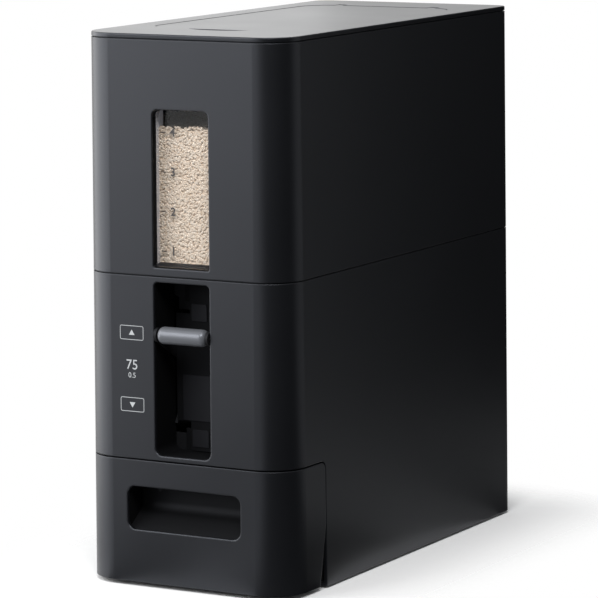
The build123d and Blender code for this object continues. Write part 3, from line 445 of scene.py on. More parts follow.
def moulded_group():
    """Moulded plastic: faint cloudy colour, uneven gloss and a fine spark-eroded grain."""
    name = "Moulded Plastic"
    if name in bpy.data.node_groups:
        return bpy.data.node_groups[name]
    inputs = [
        ("Colour", "NodeSocketColor", (0.02, 0.02, 0.02, 1.0)),
        ("Mottle", "NodeSocketFloat", 0.1),
        ("Gloss", "NodeSocketFloat", 0.4),
        ("Gloss Spread", "NodeSocketFloat", 0.05),
        ("Grain Scale", "NodeSocketFloat", 2500.0),
    ]
    outputs = [
        ("Colour", "NodeSocketColor"),
        ("Roughness", "NodeSocketFloat"),
        ("Height", "NodeSocketFloat"),
    ]
    group, start, end = new_group(name, inputs, outputs)
    place = add_node(group, "TexCoord")
    cloud = add_node(group, "TexNoise", Scale=14.0, Detail=3.0)
    grain = add_node(group, "TexNoise", Detail=2.0)
    centred = add_node(group, "Math", "SUBTRACT")
    centred.inputs[1].default_value = 0.5
    tone = add_node(group, "Math", "MULTIPLY_ADD")
    tone.inputs[2].default_value = 1.0
    tint = add_node(group, "VectorMath", "SCALE")
    gloss = add_node(group, "Math", "MULTIPLY_ADD")
    wire(
        group,
        (place, "Object", cloud, "Vector"),
        (place, "Object", grain, "Vector"),
        (start, "Grain Scale", grain, "Scale"),
        (cloud, "Fac", centred, 0),
        (centred, 0, tone, 0),
        (start, "Mottle", tone, 1),
        (start, "Colour", tint, 0),
        (tone, 0, tint, "Scale"),
        (centred, 0, gloss, 0),
        (start, "Gloss Spread", gloss, 1),
        (start, "Gloss", gloss, 2),
        (tint, 0, end, "Colour"),
        (gloss, 0, end, "Roughness"),
        (grain, "Fac", end, "Height"),
    )
    return group


def soft_edge_group():
    """Softened edges: the normal of a small edge radius, and a mask of where it is."""
    name = "Soft Edges"
    if name in bpy.data.node_groups:
        return bpy.data.node_groups[name]
    inputs = [("Radius", "NodeSocketFloat", 0.4 * MM)]
    outputs = [("Normal", "NodeSocketVector"), ("Edge", "NodeSocketFloat")]
    group, start, end = new_group(name, inputs, outputs)
    bevel = add_node(group, "Bevel")
    bevel.samples = 4
    surface = add_node(group, "NewGeometry")
    match = add_node(group, "VectorMath", "DOT_PRODUCT")
    edge = add_node(group, "MapRange", From_Min=1.0, From_Max=0.8)
    wire(
        group,
        (start, "Radius", bevel, "Radius"),
        (bevel, "Normal", match, 0),
        (surface, "Normal", match, 1),
        (match, "Value", edge, "Value"),
        (bevel, "Normal", end, "Normal"),
        (edge, "Result", end, "Edge"),
    )
    return group


# Finishes
def new_finish(name):
    """A material with one surface shader, emptied first if it is there already."""
    material = bpy.data.materials.get(name) or bpy.data.materials.new(name)
    material.use_nodes = True
    tree = material.node_tree
    tree.nodes.clear()
    output = add_node(tree, "OutputMaterial")
    shader = add_node(tree, "BsdfPrincipled")
    wire(tree, (shader, "BSDF", output, "Surface"))
    return material, tree, shader


def plastic(
    name,
    colour,
    gloss,
    spread=0.06,
    mottle=0.12,
    grain_scale=1800.0,
    grain_depth=0.03 * MM,
    edge_radius=0.3 * MM,
    edge_light=1.4,
    shine=0.5,
    metallic=0.0,
):
    """Moulded plastic with softened edges, whose colour is lightened by edge_light as a painted highlight."""
    material, tree, shader = new_finish(name)
    moulded = place_group(
        tree,
        moulded_group(),
        Colour=with_alpha(colour),
        Mottle=mottle,
        Gloss=gloss,
        Gloss_Spread=spread,
        Grain_Scale=grain_scale,
    )
    edges = place_group(tree, soft_edge_group(), Radius=edge_radius)
    # The colour along the edges is lightened to edge_light times the plain colour as a painted highlight.
    edge_highlight = colour_mix(tree)
    set_values(edge_highlight, B=with_alpha([min(1.0, part * edge_light) for part in colour]))
    bump = add_node(tree, "Bump", Strength=0.25, Distance=grain_depth)
    wire(
        tree,
        (edges, "Edge", edge_highlight, "Factor"),
        (moulded, "Colour", edge_highlight, "A"),
        (edge_highlight, "Result", shader, "Base Color"),
        (moulded, "Roughness", shader, "Roughness"),
        (moulded, "Height", bump, "Height"),
        (edges, "Normal", bump, "Normal"),
        (bump, "Normal", shader, "Normal"),
    )
    set_values(shader, IOR=1.5, Metallic=metallic, Specular_IOR_Level=shine, Specular_Tint=SHEEN)
    return material


def shell_finish(name, **differences):
    """Satin black of the outside, with what differs between the case and the lid."""
    colour = settings().finish.case
    return plastic(name, colour, spread=0.05, grain_scale=2600.0, edge_radius=1.0 * MM, **differences)


def inner_finish():
    """Matt black of the pieces inside."""
    return plastic("inner_black", settings().finish.inner, gloss=0.6, mottle=0.15, shine=0.2)


def panel_finish():
    """Near-black matt finish of the lever recess and the window's lining, dark as painted shade of the
    recess's deep openings.
    """
    return plastic("recess_black", settings().finish.panel, gloss=0.65, shine=0.1)


def cup_finish():
    """The recess's near-black, painted shade of the deep pull cup, with a little more gloss."""
    return plastic("cup_black", settings().finish.panel, gloss=0.55, shine=0.15)


def pad_finish():
    """Dark grey of the recess's pads and the window's sill."""
    return plastic("pad_grey", settings().finish.pad, gloss=0.5, shine=0.15)


def grip_finish():
    """Satin metallic grey plastic."""
    return plastic(
        "grip_grey",
        settings().finish.grip,
        gloss=0.34,
        spread=0.05,
        mottle=0.08,
        grain_scale=3200.0,
        grain_depth=0.01 * MM,
        edge_light=1.3,
        metallic=0.2,
    )


def rubber_finish():
    """Dull rubber of the feet."""
    return plastic(
        "foot_rubber",
        settings().finish.rubber,
        gloss=0.78,
        spread=0.08,
        mottle=0.2,
        grain_scale=1500.0,
        grain_depth=0.05 * MM,
        edge_light=1.5,
    )


def steel_finish(name, colour):
    """Steel with faint drawing lines."""
    material, tree, shader = new_finish(name)
    place = add_node(tree, "TexCoord")
    stretch = add_node(tree, "Mapping", Scale=(300.0, 4000.0, 4000.0))
    lines = add_node(tree, "TexNoise", Scale=1.0)
    gloss = add_node(tree, "MapRange", To_Min=0.24, To_Max=0.42)
    bump = add_node(tree, "Bump", Strength=0.15, Distance=0.01 * MM)
    wire(
        tree,
        (place, "Object", stretch, "Vector"),
        (stretch, "Vector", lines, "Vector"),
        (lines, "Fac", gloss, "Value"),
        (gloss, "Result", shader, "Roughness"),
        (lines, "Fac", bump, "Height"),
        (bump, "Normal", shader, "Normal"),
    )
    set_values(shader, Base_Color=with_alpha(colour), Metallic=1.0)
    return material


def pane_finish():
    """Clear plastic. Shadow rays pass straight through, so the rice behind it is lit."""
    material, tree, shader = new_finish("clear_pane")
    output = tree.get_output_node("ALL")
    place = add_node(tree, "TexCoord")
    ripple = add_node(tree, "TexNoise", Scale=60.0)
    bump = add_node(tree, "Bump", Strength=0.03, Distance=0.3 * MM)
    path = add_node(tree, "LightPath")
    through = add_node(tree, "Math", "MAXIMUM")
    clear = add_node(tree, "BsdfTransparent")
    blend = add_node(tree, "MixShader")
    wire(
        tree,
        (place, "Object", ripple, "Vector"),
        (ripple, "Fac", bump, "Height"),
        (bump, "Normal", shader, "Normal"),
        (path, "Is Shadow Ray", through, 0),
        (path, "Is Diffuse Ray", through, 1),
        (through, 0, blend, "Fac"),
        (shader, "BSDF", blend, 1),
        (clear, "BSDF", blend, 2),
        (blend, "Shader", output, "Surface"),
    )
    set_values(shader, Base_Color=with_alpha(settings().finish.pane), Roughness=0.03, IOR=1.3)
    set_values(shader, Transmission_Weight=1.0)
    return material


def frost_finish(name, thin, dense):
    """Frosted clear plastic, from its thinnest to its densest cover."""
    material, tree, shader = new_finish(name)
    place = add_node(tree, "TexCoord")
    cloud = add_node(tree, "TexNoise", Scale=90.0)
    veil = add_node(tree, "MapRange", To_Min=thin, To_Max=dense)
    wire(
        tree,
        (place, "Object", cloud, "Vector"),
        (cloud, "Fac", veil, "Value"),
        (veil, "Result", shader, "Alpha"),
    )
    set_values(shader, Base_Color=FROST, Roughness=0.6)
    return material


def rice_ramp(tree):
    """A colour ramp through the tones of rice."""
    ramp = add_node(tree, "ValToRGB")
    stops = ramp.color_ramp.elements
    while len(stops) < len(RICE_TONES):
        stops.new(0.5)
    for stop, (place, colour) in zip(stops, RICE_TONES):
        stop.position = place
        stop.color = with_alpha(colour)
    return ramp


def grain_finish():
    """Rice grains: each its own tone, a little translucent, with faint streaks."""
    material, tree, shader = new_finish("rice_grain")
    surface = add_node(tree, "NewGeometry")
    ramp = rice_ramp(tree)
    place = add_node(tree, "TexCoord")
    streak = add_node(tree, "TexNoise", Scale=1400.0)
    bump = add_node(tree, "Bump", Strength=0.2, Distance=0.04 * MM)
    wire(
        tree,
        (surface, "Random Per Island", ramp, "Fac"),
        (ramp, "Color", shader, "Base Color"),
        (place, "Object", streak, "Vector"),
        (streak, "Fac", bump, "Height"),
        (bump, "Normal", shader, "Normal"),
    )
    set_values(shader, Roughness=0.55, Specular_IOR_Level=0.25)
    set_values(shader, Subsurface_Weight=0.35, Subsurface_Scale=0.8 * MM, Subsurface_Radius=(1.0, 0.97, 0.94))
    return material


def bed_finish():
    """Packed rice seen between the grains, its tones darkened by a multiply as painted shade."""
    material, tree, shader = new_finish("rice_bed")
    place = add_node(tree, "TexCoord")
    cells = add_node(tree, "TexVoronoi", Scale=360.0)
    ramp = rice_ramp(tree)
    # Darkens the rice tones as painted shade in the gaps between the grains.
    shade = colour_mix(tree)
    shade.blend_type = "MULTIPLY"
    set_values(shade, Factor=1.0, B=(0.9, 0.87, 0.83, 1.0))
    split = add_node(tree, "SeparateColor")
    bump = add_node(tree, "Bump", Strength=0.8, Distance=0.8 * MM)
    bump.invert = True
    wire(
        tree,
        (place, "Object", cells, "Vector"),
        (cells, "Color", split, "Color"),
        (split, "Red", ramp, "Fac"),
        (ramp, "Color", shade, "A"),
        (shade, "Result", shader, "Base Color"),
        (cells, "Distance", bump, "Height"),
        (bump, "Normal", shader, "Normal"),
    )
    set_values(shader, Roughness=0.6)
    return material


def ink_finish(name, colour):
    """Printed ink, a little uneven."""
    material, tree, shader = new_finish(name)
    moulded = place_group(
        tree,
        moulded_group(),
        Colour=with_alpha(colour),
        Mottle=0.25,
        Gloss=0.5,
        Gloss_Spread=0.1,
        Grain_Scale=3000.0,
    )
    wire(tree, (moulded, "Colour", shader, "Base Color"), (moulded, "Roughness", shader, "Roughness"))
    return material


def dress(nodes, material):
    """Gives CAD nodes one finish."""
    for name in nodes:
        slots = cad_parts[name].data.materials
        slots.clear()
        slots.append(material)


# Meshes
def link_object(name, data):
    """A new object in the scene."""
    made = bpy.data.objects.new(name, data)
    bpy.context.scene.collection.objects.link(made)
    return made


def add_piece(name, mesh, material, body):
    """A mesh piece that rides on a body of the frame."""
    piece = link_object(name, mesh)
    mesh.materials.clear()
    mesh.materials.append(material)
    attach(piece, body)


def finished_mesh(name, shape):
    """A mesh from an edited shape, with its faces turned outward."""
    bmesh.ops.recalc_face_normals(shape, faces=shape.faces[:])
    mesh = bpy.data.meshes.new(name)
    shape.to_mesh(mesh)
    shape.free()
    return mesh


def front_plane(x, height, depth):
    """Where a flat mark lies: right and up along the front face, and out of it, at a depth behind it."""
    up = Vector((0.0, FRONT_SLOPE, 1.0)).normalized()
    right = Vector((1.0, 0.0, 0.0))
    out = right.cross(up)
    origin = Vector((x, front_y(height) + depth, height))
    return Matrix.Translation(origin) @ Matrix((right, up, out)).transposed().to_4x4()


def text_mesh(text, height, thick, bold):
    """A number as a thin mesh, centred on the origin."""
    curve = bpy.data.curves.new("number", "FONT")
    curve.body = text
    curve.align_x = "CENTER"
    curve.align_y = "CENTER"
    curve.extrude = thick / 2
    curve.size = 1.0
    holder = link_object("number", curve)
    bpy.context.view_layer.update()
    curve.size = height / holder.dimensions.y
    curve.offset = bold
    bpy.context.view_layer.update()
    mesh = bpy.data.meshes.new_from_object(holder.evaluated_get(bpy.context.evaluated_depsgraph_get()))
    bpy.data.objects.remove(holder)
    bpy.data.curves.remove(curve)
    mesh.transform(Matrix.Translation((0.0, 0.0, thick / 2)))
    return mesh


def polygon_mesh(loops, thick):
    """A thin closed plate from flat faces given as loops of points."""
    shape = bmesh.new()
    for loop in loops:
        shape.faces.new([shape.verts.new((x, y, 0.0)) for x, y in loop])
    bmesh.ops.remove_doubles(shape, verts=shape.verts, dist=thick / 100)
    raised = bmesh.ops.extrude_face_region(shape, geom=shape.faces[:])
    lifted = [item for item in raised["geom"] if isinstance(item, bmesh.types.BMVert)]
    bmesh.ops.translate(shape, verts=lifted, vec=(0.0, 0.0, thick))
    return finished_mesh("plate", shape)


def upright_outline(low, high, near, far):
    """Corners of a rectangle that stands square to the front, as heights and depths behind the front face."""
    return [(low, near), (low, far), (high, far), (high, near)]


def upright_plate(corners, left, thick):
    """A closed plate that stands square to the front: corners as heights and depths behind the front face."""
    plate = polygon_mesh([[(front_y(height) + depth, height) for height, depth in corners]], thick)
    turn = Matrix(((0.0, 0.0, 1.0), (1.0, 0.0, 0.0), (0.0, 1.0, 0.0))).to_4x4()
    plate.transform(Matrix.Translation((left, 0.0, 0.0)) @ turn)
    return plate


def join_meshes(parts):
    """One mesh from meshes and the places they go to."""
    joined = bmesh.new()
    for mesh, place in parts:
        mesh.transform(place)
        joined.from_mesh(mesh)
        bpy.data.meshes.remove(mesh)
    result = bpy.data.meshes.new("joined")
    joined.to_mesh(result)
    joined.free()
    return result


def rounded_outline(width, height, radius, steps):
    """Points of a rounded rectangle about the origin."""
    points = []
    for quarter, (side, level) in enumerate(((1, 1), (-1, 1), (-1, -1), (1, -1))):
        for step in range(steps + 1):
            angle = math.pi / 2 * (quarter + step / steps)
            x = side * (width / 2 - radius) + radius * math.cos(angle)
            y = level * (height / 2 - radius) + radius * math.sin(angle)
            points.append((x, y))
    return points


def outline_loops(width, height, radius, line):
    """Quads of a rounded outline with a line width."""
    outer = rounded_outline(width, height, radius, SIGN_CORNER_STEPS)
    inner = rounded_outline(width - 2 * line, height - 2 * line, radius - line, SIGN_CORNER_STEPS)
    loops = []
    for index, point in enumerate(outer):
        after = (index + 1) % len(outer)
        loops.append([point, outer[after], inner[after], inner[index]])
    return loops


# Rice
def grain_template(sides, rings):
    """A rice grain of unit length and girth along X, a little plumper at one end."""
    points = [(-0.5, 0.0, 0.0)]
    for ring in range(1, rings):
        turn = math.pi * ring / rings
        along = -0.5 * math.cos(turn)
        girth = 0.5 * math.sin(turn) ** GRAIN_PLUMP * (1.0 - GRAIN_TAPER * along)
        for side in range(sides):
            angle = 2 * math.pi * side / sides
            points.append((along, girth * math.cos(angle), girth * math.sin(angle)))
    points.append((0.5, 0.0, 0.0))
    last = len(points) - 1
    faces = []
    for side in range(sides):
        after = (side + 1) % sides
        faces.append((0, 1 + after, 1 + side))
        for ring in range(rings - 2):
            low = 1 + ring * sides
            high = low + sides
            faces.append((low + side, low + after, high + after, high + side))
        tail = 1 + (rings - 2) * sides
        faces.append((tail + side, tail + after, last))
    return [Vector(point) for point in points], faces


def lay_grains(name, spots, facing, rest, seed, sides, rings):
    """Grains at given spots, each turned at random about the facing axis and pushed back to rest on a plane.

    facing is the axis (1 or 2) that looks out of the heap, and rest gives each grain's outermost point.
    """
    rice = settings().rice
    draw = random.Random(seed)
    points, faces = grain_template(sides, rings)
    outward = -1.0 if facing == 1 else 1.0
    upright = Matrix.Rotation(math.pi / 2, 3, "X") if facing == 1 else Matrix.Identity(3)
    vertices = []
    polygons = []
    for spot in spots:
        size = draw.uniform(*GRAIN_SIZE_SHARES)
        scale = Matrix.Diagonal(Vector((rice.grain_length, rice.grain_width, rice.grain_thick)) * size)
        spin = Matrix.Rotation(draw.uniform(0.0, 2 * math.pi), 3, "XYZ"[facing])
        lean = Matrix.Rotation(draw.gauss(0.0, GRAIN_LEAN), 3, "XYZ"[(facing + 1) % 3])
        roll = Matrix.Rotation(draw.gauss(0.0, GRAIN_ROLL), 3, "X")
        turned = spin @ lean @ upright @ roll @ scale
        grain = [turned @ point for point in points]
        reach = max(outward * point[facing] for point in grain)
        shift = Vector(spot)
        shift[facing] = rest(spot) - outward * reach
        first = len(vertices)
        vertices.extend(point + shift for point in grain)
        polygons.extend([tuple(first + index for index in face) for face in faces])
    mesh = bpy.data.meshes.new(name)
    mesh.from_pydata(vertices, [], polygons)
    mesh.polygons.foreach_set("use_smooth", [True] * len(polygons))
    mesh.update()
    return mesh


def jittered(low, high, spacing, draw):
    """Places along a line, unevenly spaced."""
    count = max(1, round((high - low) / spacing))
    step = (high - low) / count
    return [low + step * (index + draw.uniform(*LINE_SPREAD)) for index in range(count)]


def window_spots(seed, spacing):
    """Places of the grains that lie against the pane, in one layer."""
    level = settings().rice.level
    draw = random.Random(seed)
    spots = []
    for height in jittered(PANE_LOW.z + BED_MARGIN, level, spacing * ROW_SHARE, draw):
        for x in jittered(-WINDOW_REACH, WINDOW_REACH, spacing * COLUMN_SHARE, draw):
            jitter = draw.uniform(-1.0, 1.0) * spacing
            spots.append((x, 0.0, min(height + jitter, level + CREST_SHARE * jitter)))
    return spots


def bed_front(height):
    """Y of the rice's front at a height above the floor."""
    return front_y(height) + PANE_BACK_DEPTH + BED_GAP


def heap_top_spots():
    """Places of the grains on top of the rice, under the fill flap."""
    rice = settings().rice
    draw = random.Random(rice.seed + TOP_PLACE_DRAW)
    spots = []
    margin = rice.grain_length
    side = BED_SIDE - margin
    step = rice.spacing * TOP_SHARE
    for y in jittered(bed_front(rice.level) + margin, BED_REAR - margin, step, draw):
        for x in jittered(-side, side, step, draw):
            spots.append((x, y + draw.uniform(*TOP_SPREAD) * step, 0.0))
    return spots


def rice_bed_mesh():
    """The body of the rice: a closed hull between the window and the rear wall, over the sloped floor."""
    top = settings().rice.level - BED_TOP
    floor_rear = HOPPER_HIGH.z + BED_MARGIN
    floor_front = PANE_LOW.z - BED_MARGIN
    points = []
    for sign in (-1, 1):
        for height in (top, floor_rear):
            near = bed_front(height)
            points.append((sign * BED_SIDE, near + BED_CORNER, height))
            points.append((sign * (BED_SIDE - BED_CORNER), near, height))
            points.append((sign * BED_SIDE, BED_REAR - BED_CORNER, height))
            points.append((sign * (BED_SIDE - BED_CORNER), BED_REAR, height))
        near = bed_front(floor_front)
        points.append((sign * BED_FOOT_HALF, near, floor_front))
        points.append((sign * BED_FOOT_HALF, near + BED_CORNER, floor_front))
    shape = bmesh.new()
    for point in points:
        shape.verts.new(point)
    bmesh.ops.convex_hull(shape, input=shape.verts[:])
    return finished_mesh("rice_bed", shape)


# Operators, one for each piece or group of like pieces
class RICEBIN_OT_case(bpy.types.Operator):
    """Finish the case, the drawer front and the lid"""

    bl_idname = "rice_bin.case"
    bl_label = "Case and Lid"

    def execute(self, context):
        # edge_light lightens the colour along the edges as a painted highlight, most of all on the lid.
        dress(CASE_NODES, shell_finish("case_black", gloss=0.36, grain_depth=0.02 * MM, edge_light=2.0))
        dress(LID_NODES, shell_finish("lid_black", gloss=0.3, grain_depth=0.015 * MM, edge_light=3.0))
        return {"FINISHED"}


class RICEBIN_OT_inner(bpy.types.Operator):
    """Finish the hopper, the tray, the rocker and the lever recess, and lay the recess's raised pads"""

    bl_idname = "rice_bin.inner"
    bl_label = "Inner Pieces"

    def execute(self, context):
        dress(INNER_NODES, inner_finish())
        dress(PANEL_NODES, panel_finish())
        dress(CUP_NODES, cup_finish())
        turn = Matrix.Rotation(math.pi / 2, 4, "X")
        parts = []
        for half, low, high in RECESS_PADS:
            outline = rounded_outline(2 * half, high - low, PAD_CORNER, PAD_CORNER_STEPS)
            place = Matrix.Translation((0.0, CHAMBER_LOW.y, (low + high) / 2))
            parts.append((polygon_mesh([outline], PAD_RISE), place @ turn))
        add_piece("recess_pads", join_meshes(parts), pad_finish(), "case")
        return {"FINISHED"}


class RICEBIN_OT_hardware(bpy.types.Operator):
    """Finish the grip, the pins, the screws and the feet"""

    bl_idname = "rice_bin.hardware"
    bl_label = "Grip and Hardware"

    def execute(self, context):
        finish = settings().finish
        dress(GRIP_NODES, grip_finish())
        dress(STEEL_NODES, steel_finish("plated_steel", finish.steel))
        dress(DARK_STEEL_NODES, steel_finish("blackened_steel", finish.dark_steel))
        dress(FOOT_NODES, rubber_finish())
        return {"FINISHED"}


class RICEBIN_OT_window(bpy.types.Operator):
    """Finish the window pane and lay its frost, lining, ribs and sill"""

    bl_idname = "rice_bin.window"
    bl_label = "Window"

    def execute(self, context):
        dress(PANE_NODES, pane_finish())
        wall = upright_outline(WINDOW_LOW, WINDOW_HIGH, PANE_LIP_DEPTH, PANE_FACE_DEPTH)
        lining = upright_outline(
            WINDOW_LOW + LINING_LOW_CORNER,
            WINDOW_HIGH - LINING_HIGH_CORNER,
            LINING_NEAR,
            PANE_LIP_DEPTH - PLATE_GAP,
        )
        rib = upright_outline(
            settings().rice.level - RIB_BURIED,
            WINDOW_HIGH,
            PANE_BACK_DEPTH + PLATE_GAP,
            PANE_BACK_DEPTH + RIB_DEPTH,
        )
        plates = (
            ("pane_frost_", wall, WINDOW_HALF - PLATE_GAP, frost_finish("wall_frost", *WALL_COVER)),
            ("window_liner_", lining, WINDOW_HALF - PLATE_GAP, panel_finish()),
            ("pane_rib_", rib, WINDOW_HALF + RIB_OUT, frost_finish("rib_frost", *RIB_COVER)),
        )
        for side, end in ((-1, "left"), (1, "right")):
            for name, outline, out, finish in plates:
                plate = upright_plate(outline, side * out - PLATE_THICK / 2, PLATE_THICK)
                add_piece(name + end, plate, finish, "case")
        far = PANE_FACE_DEPTH - PLATE_GAP
        sill = [
            (WINDOW_LOW, SILL_NEAR),
            (WINDOW_LOW, far),
            (WINDOW_LOW + SILL_RISE, far),
            (WINDOW_LOW + SILL_EDGE, SILL_NEAR),
        ]
        add_piece("window_sill", upright_plate(sill, -SILL_HALF, 2 * SILL_HALF), pad_finish(), "case")
        return {"FINISHED"}


class RICEBIN_OT_scale(bpy.types.Operator):
    """Print the scale on the window"""

    bl_idname = "rice_bin.scale"
    bl_label = "Window Scale"

    def execute(self, context):
        marks = settings().marks
        depth = PANE_FACE_DEPTH - SCALE_GAP
        parts = []
        for number in SCALE_NUMBERS:
            height = marks.scale_first + (number - 1) * marks.scale_step
            figure = text_mesh(str(number), marks.scale_number, marks.film, NUMBER_BOLD)
            parts.append((figure, front_plane(NUMBER_X, height, depth)))
            parts.append((polygon_mesh([TICK], marks.film), front_plane(TICK_X, height, depth)))
        ink = ink_finish("scale_ink", settings().finish.scale_ink)
        add_piece("window_scale", join_meshes(parts), ink, "case")
        return {"FINISHED"}


class RICEBIN_OT_rice(bpy.types.Operator):
    """Fill the bin with rice behind the window and under the flap"""

    bl_idname = "rice_bin.rice"
    bl_label = "Rice"

    def execute(self, context):
        rice = settings().rice
        finish = grain_finish()
        for layer, (behind, share, sides, rings) in enumerate(WINDOW_LAYERS):
            name = "rice_at_window_" + "ab"[layer]
            seed = rice.seed + layer
            depth = PANE_BACK_DEPTH + behind

            def against_pane(spot, depth=depth):
                return front_y(spot[2]) + depth

            spots = window_spots(seed, rice.spacing * share)
            mesh = lay_grains(name, spots, 1, against_pane, seed, sides, rings)
            add_piece(name, mesh, finish, "case")

        draw = random.Random(rice.seed + TOP_HEIGHT_DRAW)

        def on_heap(spot):
            return rice.level + draw.uniform(*TOP_WAVER)

        seed = rice.seed + TOP_TURN_DRAW
        mesh = lay_grains("rice_on_top", heap_top_spots(), 2, on_heap, seed, *TOP_GRAIN)
        add_piece("rice_on_top", mesh, finish, "case")
        add_piece("rice_bed", rice_bed_mesh(), bed_finish(), "case")
        return {"FINISHED"}


class RICEBIN_OT_signs(bpy.types.Operator):
    """Print the two signs and the dose beside the lever"""

    bl_idname = "rice_bin.signs"
    bl_label = "Lever Signs"

    def execute(self, context):
        marks = settings().marks
        lift = -marks.film
        frame_loops = outline_loops(marks.badge_width, marks.badge_height, SIGN_CORNER, marks.badge_line)
        parts = []
        for height, turn in ((SIGN_UP, 1.0), (SIGN_DOWN, -1.0)):
            arrow = [(x * turn, y * turn) for x, y in ARROW]
            place = front_plane(-marks.badge_x, height, lift)
            parts.append((polygon_mesh(frame_loops, marks.film), place))
            parts.append((polygon_mesh([arrow], marks.film), place))
        for text, size, height in LEVER_NUMBERS:
            figure = text_mesh(text, size, marks.film, 0.0)
            parts.append((figure, front_plane(-marks.badge_x, height, lift)))
        ink = ink_finish("front_ink", settings().finish.print_ink)
        add_piece("lever_signs", join_meshes(parts), ink, "case")
        return {"FINISHED"}


# Stage
def add_lamp(name, place, target, width, height, power):
    """A rectangular soft lamp that looks at a point."""
    light = bpy.data.lights.new(name, "AREA")
    light.shape = "RECTANGLE"
    light.size = width
    light.size_y = height
    light.energy = power
    lamp = link_object(name, light)
    lamp.location = place
    lamp.rotation_euler = (lamp.location - target).to_track_quat("Z", "Y").to_euler()
    lamp.visible_camera = False


def add_camera():
    """The camera at the photograph's viewing angle."""
    stage = settings().stage
    yaw, pitch, roll = stage.camera_yaw, stage.camera_pitch, stage.camera_roll
    forward = Vector(
        (-math.sin(yaw) * math.cos(pitch), math.cos(yaw) * math.cos(pitch), -math.sin(pitch))
    )
    right = Vector((math.cos(yaw), math.sin(yaw), 0.0))
    up = right.cross(forward)
    tilted_right = right * math.cos(roll) + up * math.sin(roll)
    tilted_up = up * math.cos(roll) - right * math.sin(roll)
    turn = Matrix((tilted_right, tilted_up, -forward)).transposed().to_4x4()
    lens = bpy.data.cameras.new("camera")
    lens.lens = stage.lens
    lens.sensor_width = SENSOR_WIDTH
    camera = link_object("camera", lens)
    camera.matrix_world = Matrix.Translation(stage.camera_place) @ turn
    bpy.context.scene.camera = camera


def add_world():
    """A white background for the eye, reflections and the clear pane, with a softer light for the rest."""
    world = bpy.data.worlds.new("studio")
    bpy.context.scene.world = world
    world.use_nodes = True
    tree = world.node_tree
    tree.nodes.clear()
    output = add_node(tree, "OutputWorld")
    seen = add_node(tree, "Background", Color=(1.0, 1.0, 1.0, 1.0))
    light = add_node(tree, "Background", Color=(0.97, 0.985, 1.0, 1.0), Strength=settings().stage.ambient)
    path = add_node(tree, "LightPath")
    mirrored = add_node(tree, "Math", "MAXIMUM")
    shown = add_node(tree, "Math", "MAXIMUM")
    blend = add_node(tree, "MixShader")
    wire(
        tree,
        (path, "Is Glossy Ray", mirrored, 0),
        (path, "Is Transmission Ray", mirrored, 1),
        (path, "Is Camera Ray", shown, 0),
        (mirrored, 0, shown, 1),
        (shown, 0, blend, "Fac"),
        (light, "Background", blend, 1),
        (seen, "Background", blend, 2),
        (blend, "Shader", output, "Surface"),
    )


def add_stage_mesh(name, points, faces, material):
    """A mesh that belongs to the stage."""
    mesh = bpy.data.meshes.new(name)
    mesh.from_pydata(points, [], faces)
    mesh.materials.append(material)
    piece = link_object(name, mesh)
    return piece


def floor_finish():
    """Pale floor that fades into the white background with its distance from the bin."""
    stage = settings().stage
    material, tree, shader = new_finish("pale_floor")
    place = add_node(tree, "TexCoord")
    mirrored = add_node(tree, "VectorMath", "ABSOLUTE")
    beyond = add_node(tree, "VectorMath", "SUBTRACT")
    beyond.inputs[1].default_value = (CAD_BOX[1].x, CAD_BOX[1].y, 0.0)
    outside = add_node(tree, "VectorMath", "MAXIMUM")
    reach = add_node(tree, "VectorMath", "LENGTH")
    fade = add_node(tree, "MapRange", From_Max=stage.floor_reach, To_Min=1.0, To_Max=0.0)
    fade.interpolation_type = "SMOOTHSTEP"
    wire(
        tree,
        (place, "Object", mirrored, 0),
        (mirrored, "Vector", beyond, 0),
        (beyond, "Vector", outside, 0),
        (outside, "Vector", reach, 0),
        (reach, "Value", fade, "Value"),
        (fade, "Result", shader, "Alpha"),
    )
    set_values(shader, Base_Color=with_alpha(stage.floor_colour), Roughness=0.9, Specular_IOR_Level=0.1)
    return material


def ring_points(reach, start, stop, steps, height):
    """Points along an arc about the bin, from one bearing to another, counted from the front to the right."""
    points = []
    for step in range(steps + 1):
        bearing = math.radians(start + (stop - start) * step / steps)
        points.append((reach[0] * math.sin(bearing), -reach[1] * math.cos(bearing), height))
    return points


def add_floor():
    """A round floor under the bin."""
    reach = CAD_BOX[1].y + settings().stage.floor_reach
    last = FULL_TURN - FULL_TURN / FLOOR_STEPS
    rim = ring_points((reach, reach), 0.0, last, FLOOR_STEPS - 1, 0.0)
    add_stage_mesh("floor", rim, [tuple(range(len(rim)))], floor_finish())


def card_finish(name, shade, start, solid):
    """Matt card that thickens from nothing at its start to full cover at the bearing where it is solid."""
    material, tree, shader = new_finish(name)
    set_values(shader, Base_Color=(shade, shade, shade, 1.0), Roughness=0.9, Specular_IOR_Level=0.0)
    if solid > start:
        place = add_node(tree, "TexCoord")
        turn = add_node(tree, "TexGradient")
        turn.gradient_type = "RADIAL"
        cover = add_node(
            tree,
            "MapRange",
            From_Min=(start + QUARTER_TURN) / FULL_TURN,
            From_Max=(solid + QUARTER_TURN) / FULL_TURN,
        )
        cover.interpolation_type = "SMOOTHSTEP"
        wire(
            tree,
            (place, "Object", turn, "Vector"),
            (turn, "Fac", cover, "Value"),
            (cover, "Result", shader, "Alpha"),
        )
    return material


def add_card(name, shade, start, solid, stop, far, height):
    """A card round part of the bin, seen only in reflections: a strip of floor and a wall at its far edge."""
    points = ring_points(CARD_NEAR, start, stop, CARD_STEPS, CARD_LIFT)
    points += ring_points((far, far), start, stop, CARD_STEPS, CARD_LIFT)
    points += ring_points((far, far), start, stop, CARD_STEPS, height)
    count = CARD_STEPS + 1
    faces = []
    for row in range(2):
        for step in range(CARD_STEPS):
            first = row * count + step
            faces.append((first, first + 1, first + count + 1, first + count))
    card = add_stage_mesh(name, points, faces, card_finish(name, shade, start, solid))
    card.visible_camera = False
    card.visible_diffuse = False
    card.visible_transmission = False
    card.visible_shadow = False


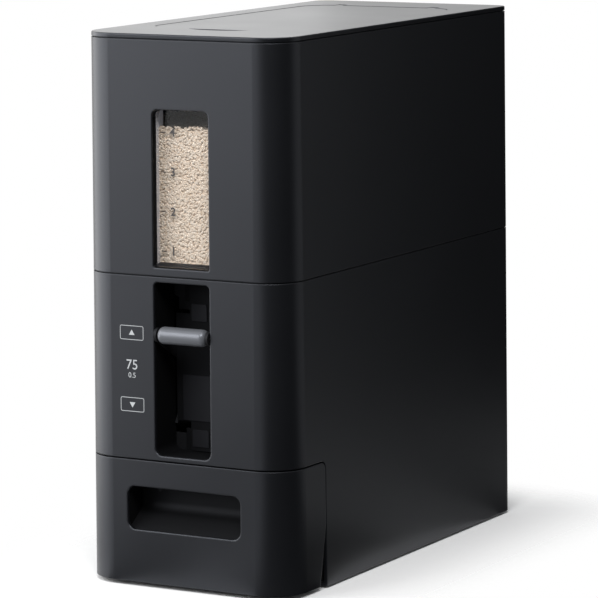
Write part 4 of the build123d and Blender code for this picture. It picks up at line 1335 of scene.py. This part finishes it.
class RICEBIN_OT_stage(bpy.types.Operator):
    """Set up the camera, the floor, the cards and the lamps"""

    bl_idname = "rice_bin.stage"
    bl_label = "Studio"

    def execute(self, context):
        stage = settings().stage
        add_camera()
        add_world()
        add_floor()
        for name, shade, start, solid, stop, far, height in CARDS:
            add_card(name, getattr(stage, shade), start, solid, stop, far, height)
        middle = (CAD_BOX[0] + CAD_BOX[1]) / 2
        for name, place, width, height, power in LAMPS:
            add_lamp(name, place, middle, width, height, getattr(stage, power))
        context.scene.view_settings.view_transform = "Standard"
        return {"FINISHED"}


class RICEBIN_PT_panel(bpy.types.Panel):
    """Lists the pieces of the rice bin"""

    bl_idname = "RICEBIN_PT_panel"
    bl_label = "Rice Bin"
    bl_space_type = "VIEW_3D"
    bl_region_type = "UI"
    bl_category = "Rice Bin"

    def draw(self, context):
        for operator in OPERATORS:
            self.layout.operator(operator.bl_idname)
        bin_settings = context.scene.rice_bin
        for group in (bin_settings.finish, bin_settings.rice, bin_settings.marks, bin_settings.stage):
            box = self.layout.box()
            for name in group.__annotations__:
                box.prop(group, name)


OPERATORS = (
    RICEBIN_OT_stage,
    RICEBIN_OT_case,
    RICEBIN_OT_inner,
    RICEBIN_OT_hardware,
    RICEBIN_OT_window,
    RICEBIN_OT_scale,
    RICEBIN_OT_rice,
    RICEBIN_OT_signs,
)
GROUPS = (FinishSettings, RiceSettings, MarkSettings, StageSettings, RiceBinSettings)
CLASSES = GROUPS + OPERATORS + (RICEBIN_PT_panel,)


def register():
    for kind in CLASSES:
        bpy.utils.register_class(kind)
    bpy.types.Scene.rice_bin = PointerProperty(type=RiceBinSettings)


def unregister():
    del bpy.types.Scene.rice_bin
    for kind in reversed(CLASSES):
        bpy.utils.unregister_class(kind)


def main():
    register()
    bpy.ops.rice_bin.stage()
    bpy.ops.rice_bin.case()
    bpy.ops.rice_bin.inner()
    bpy.ops.rice_bin.hardware()
    bpy.ops.rice_bin.window()
    bpy.ops.rice_bin.scale()
    bpy.ops.rice_bin.rice()
    bpy.ops.rice_bin.signs()


if __name__ == "__main__":
    main()
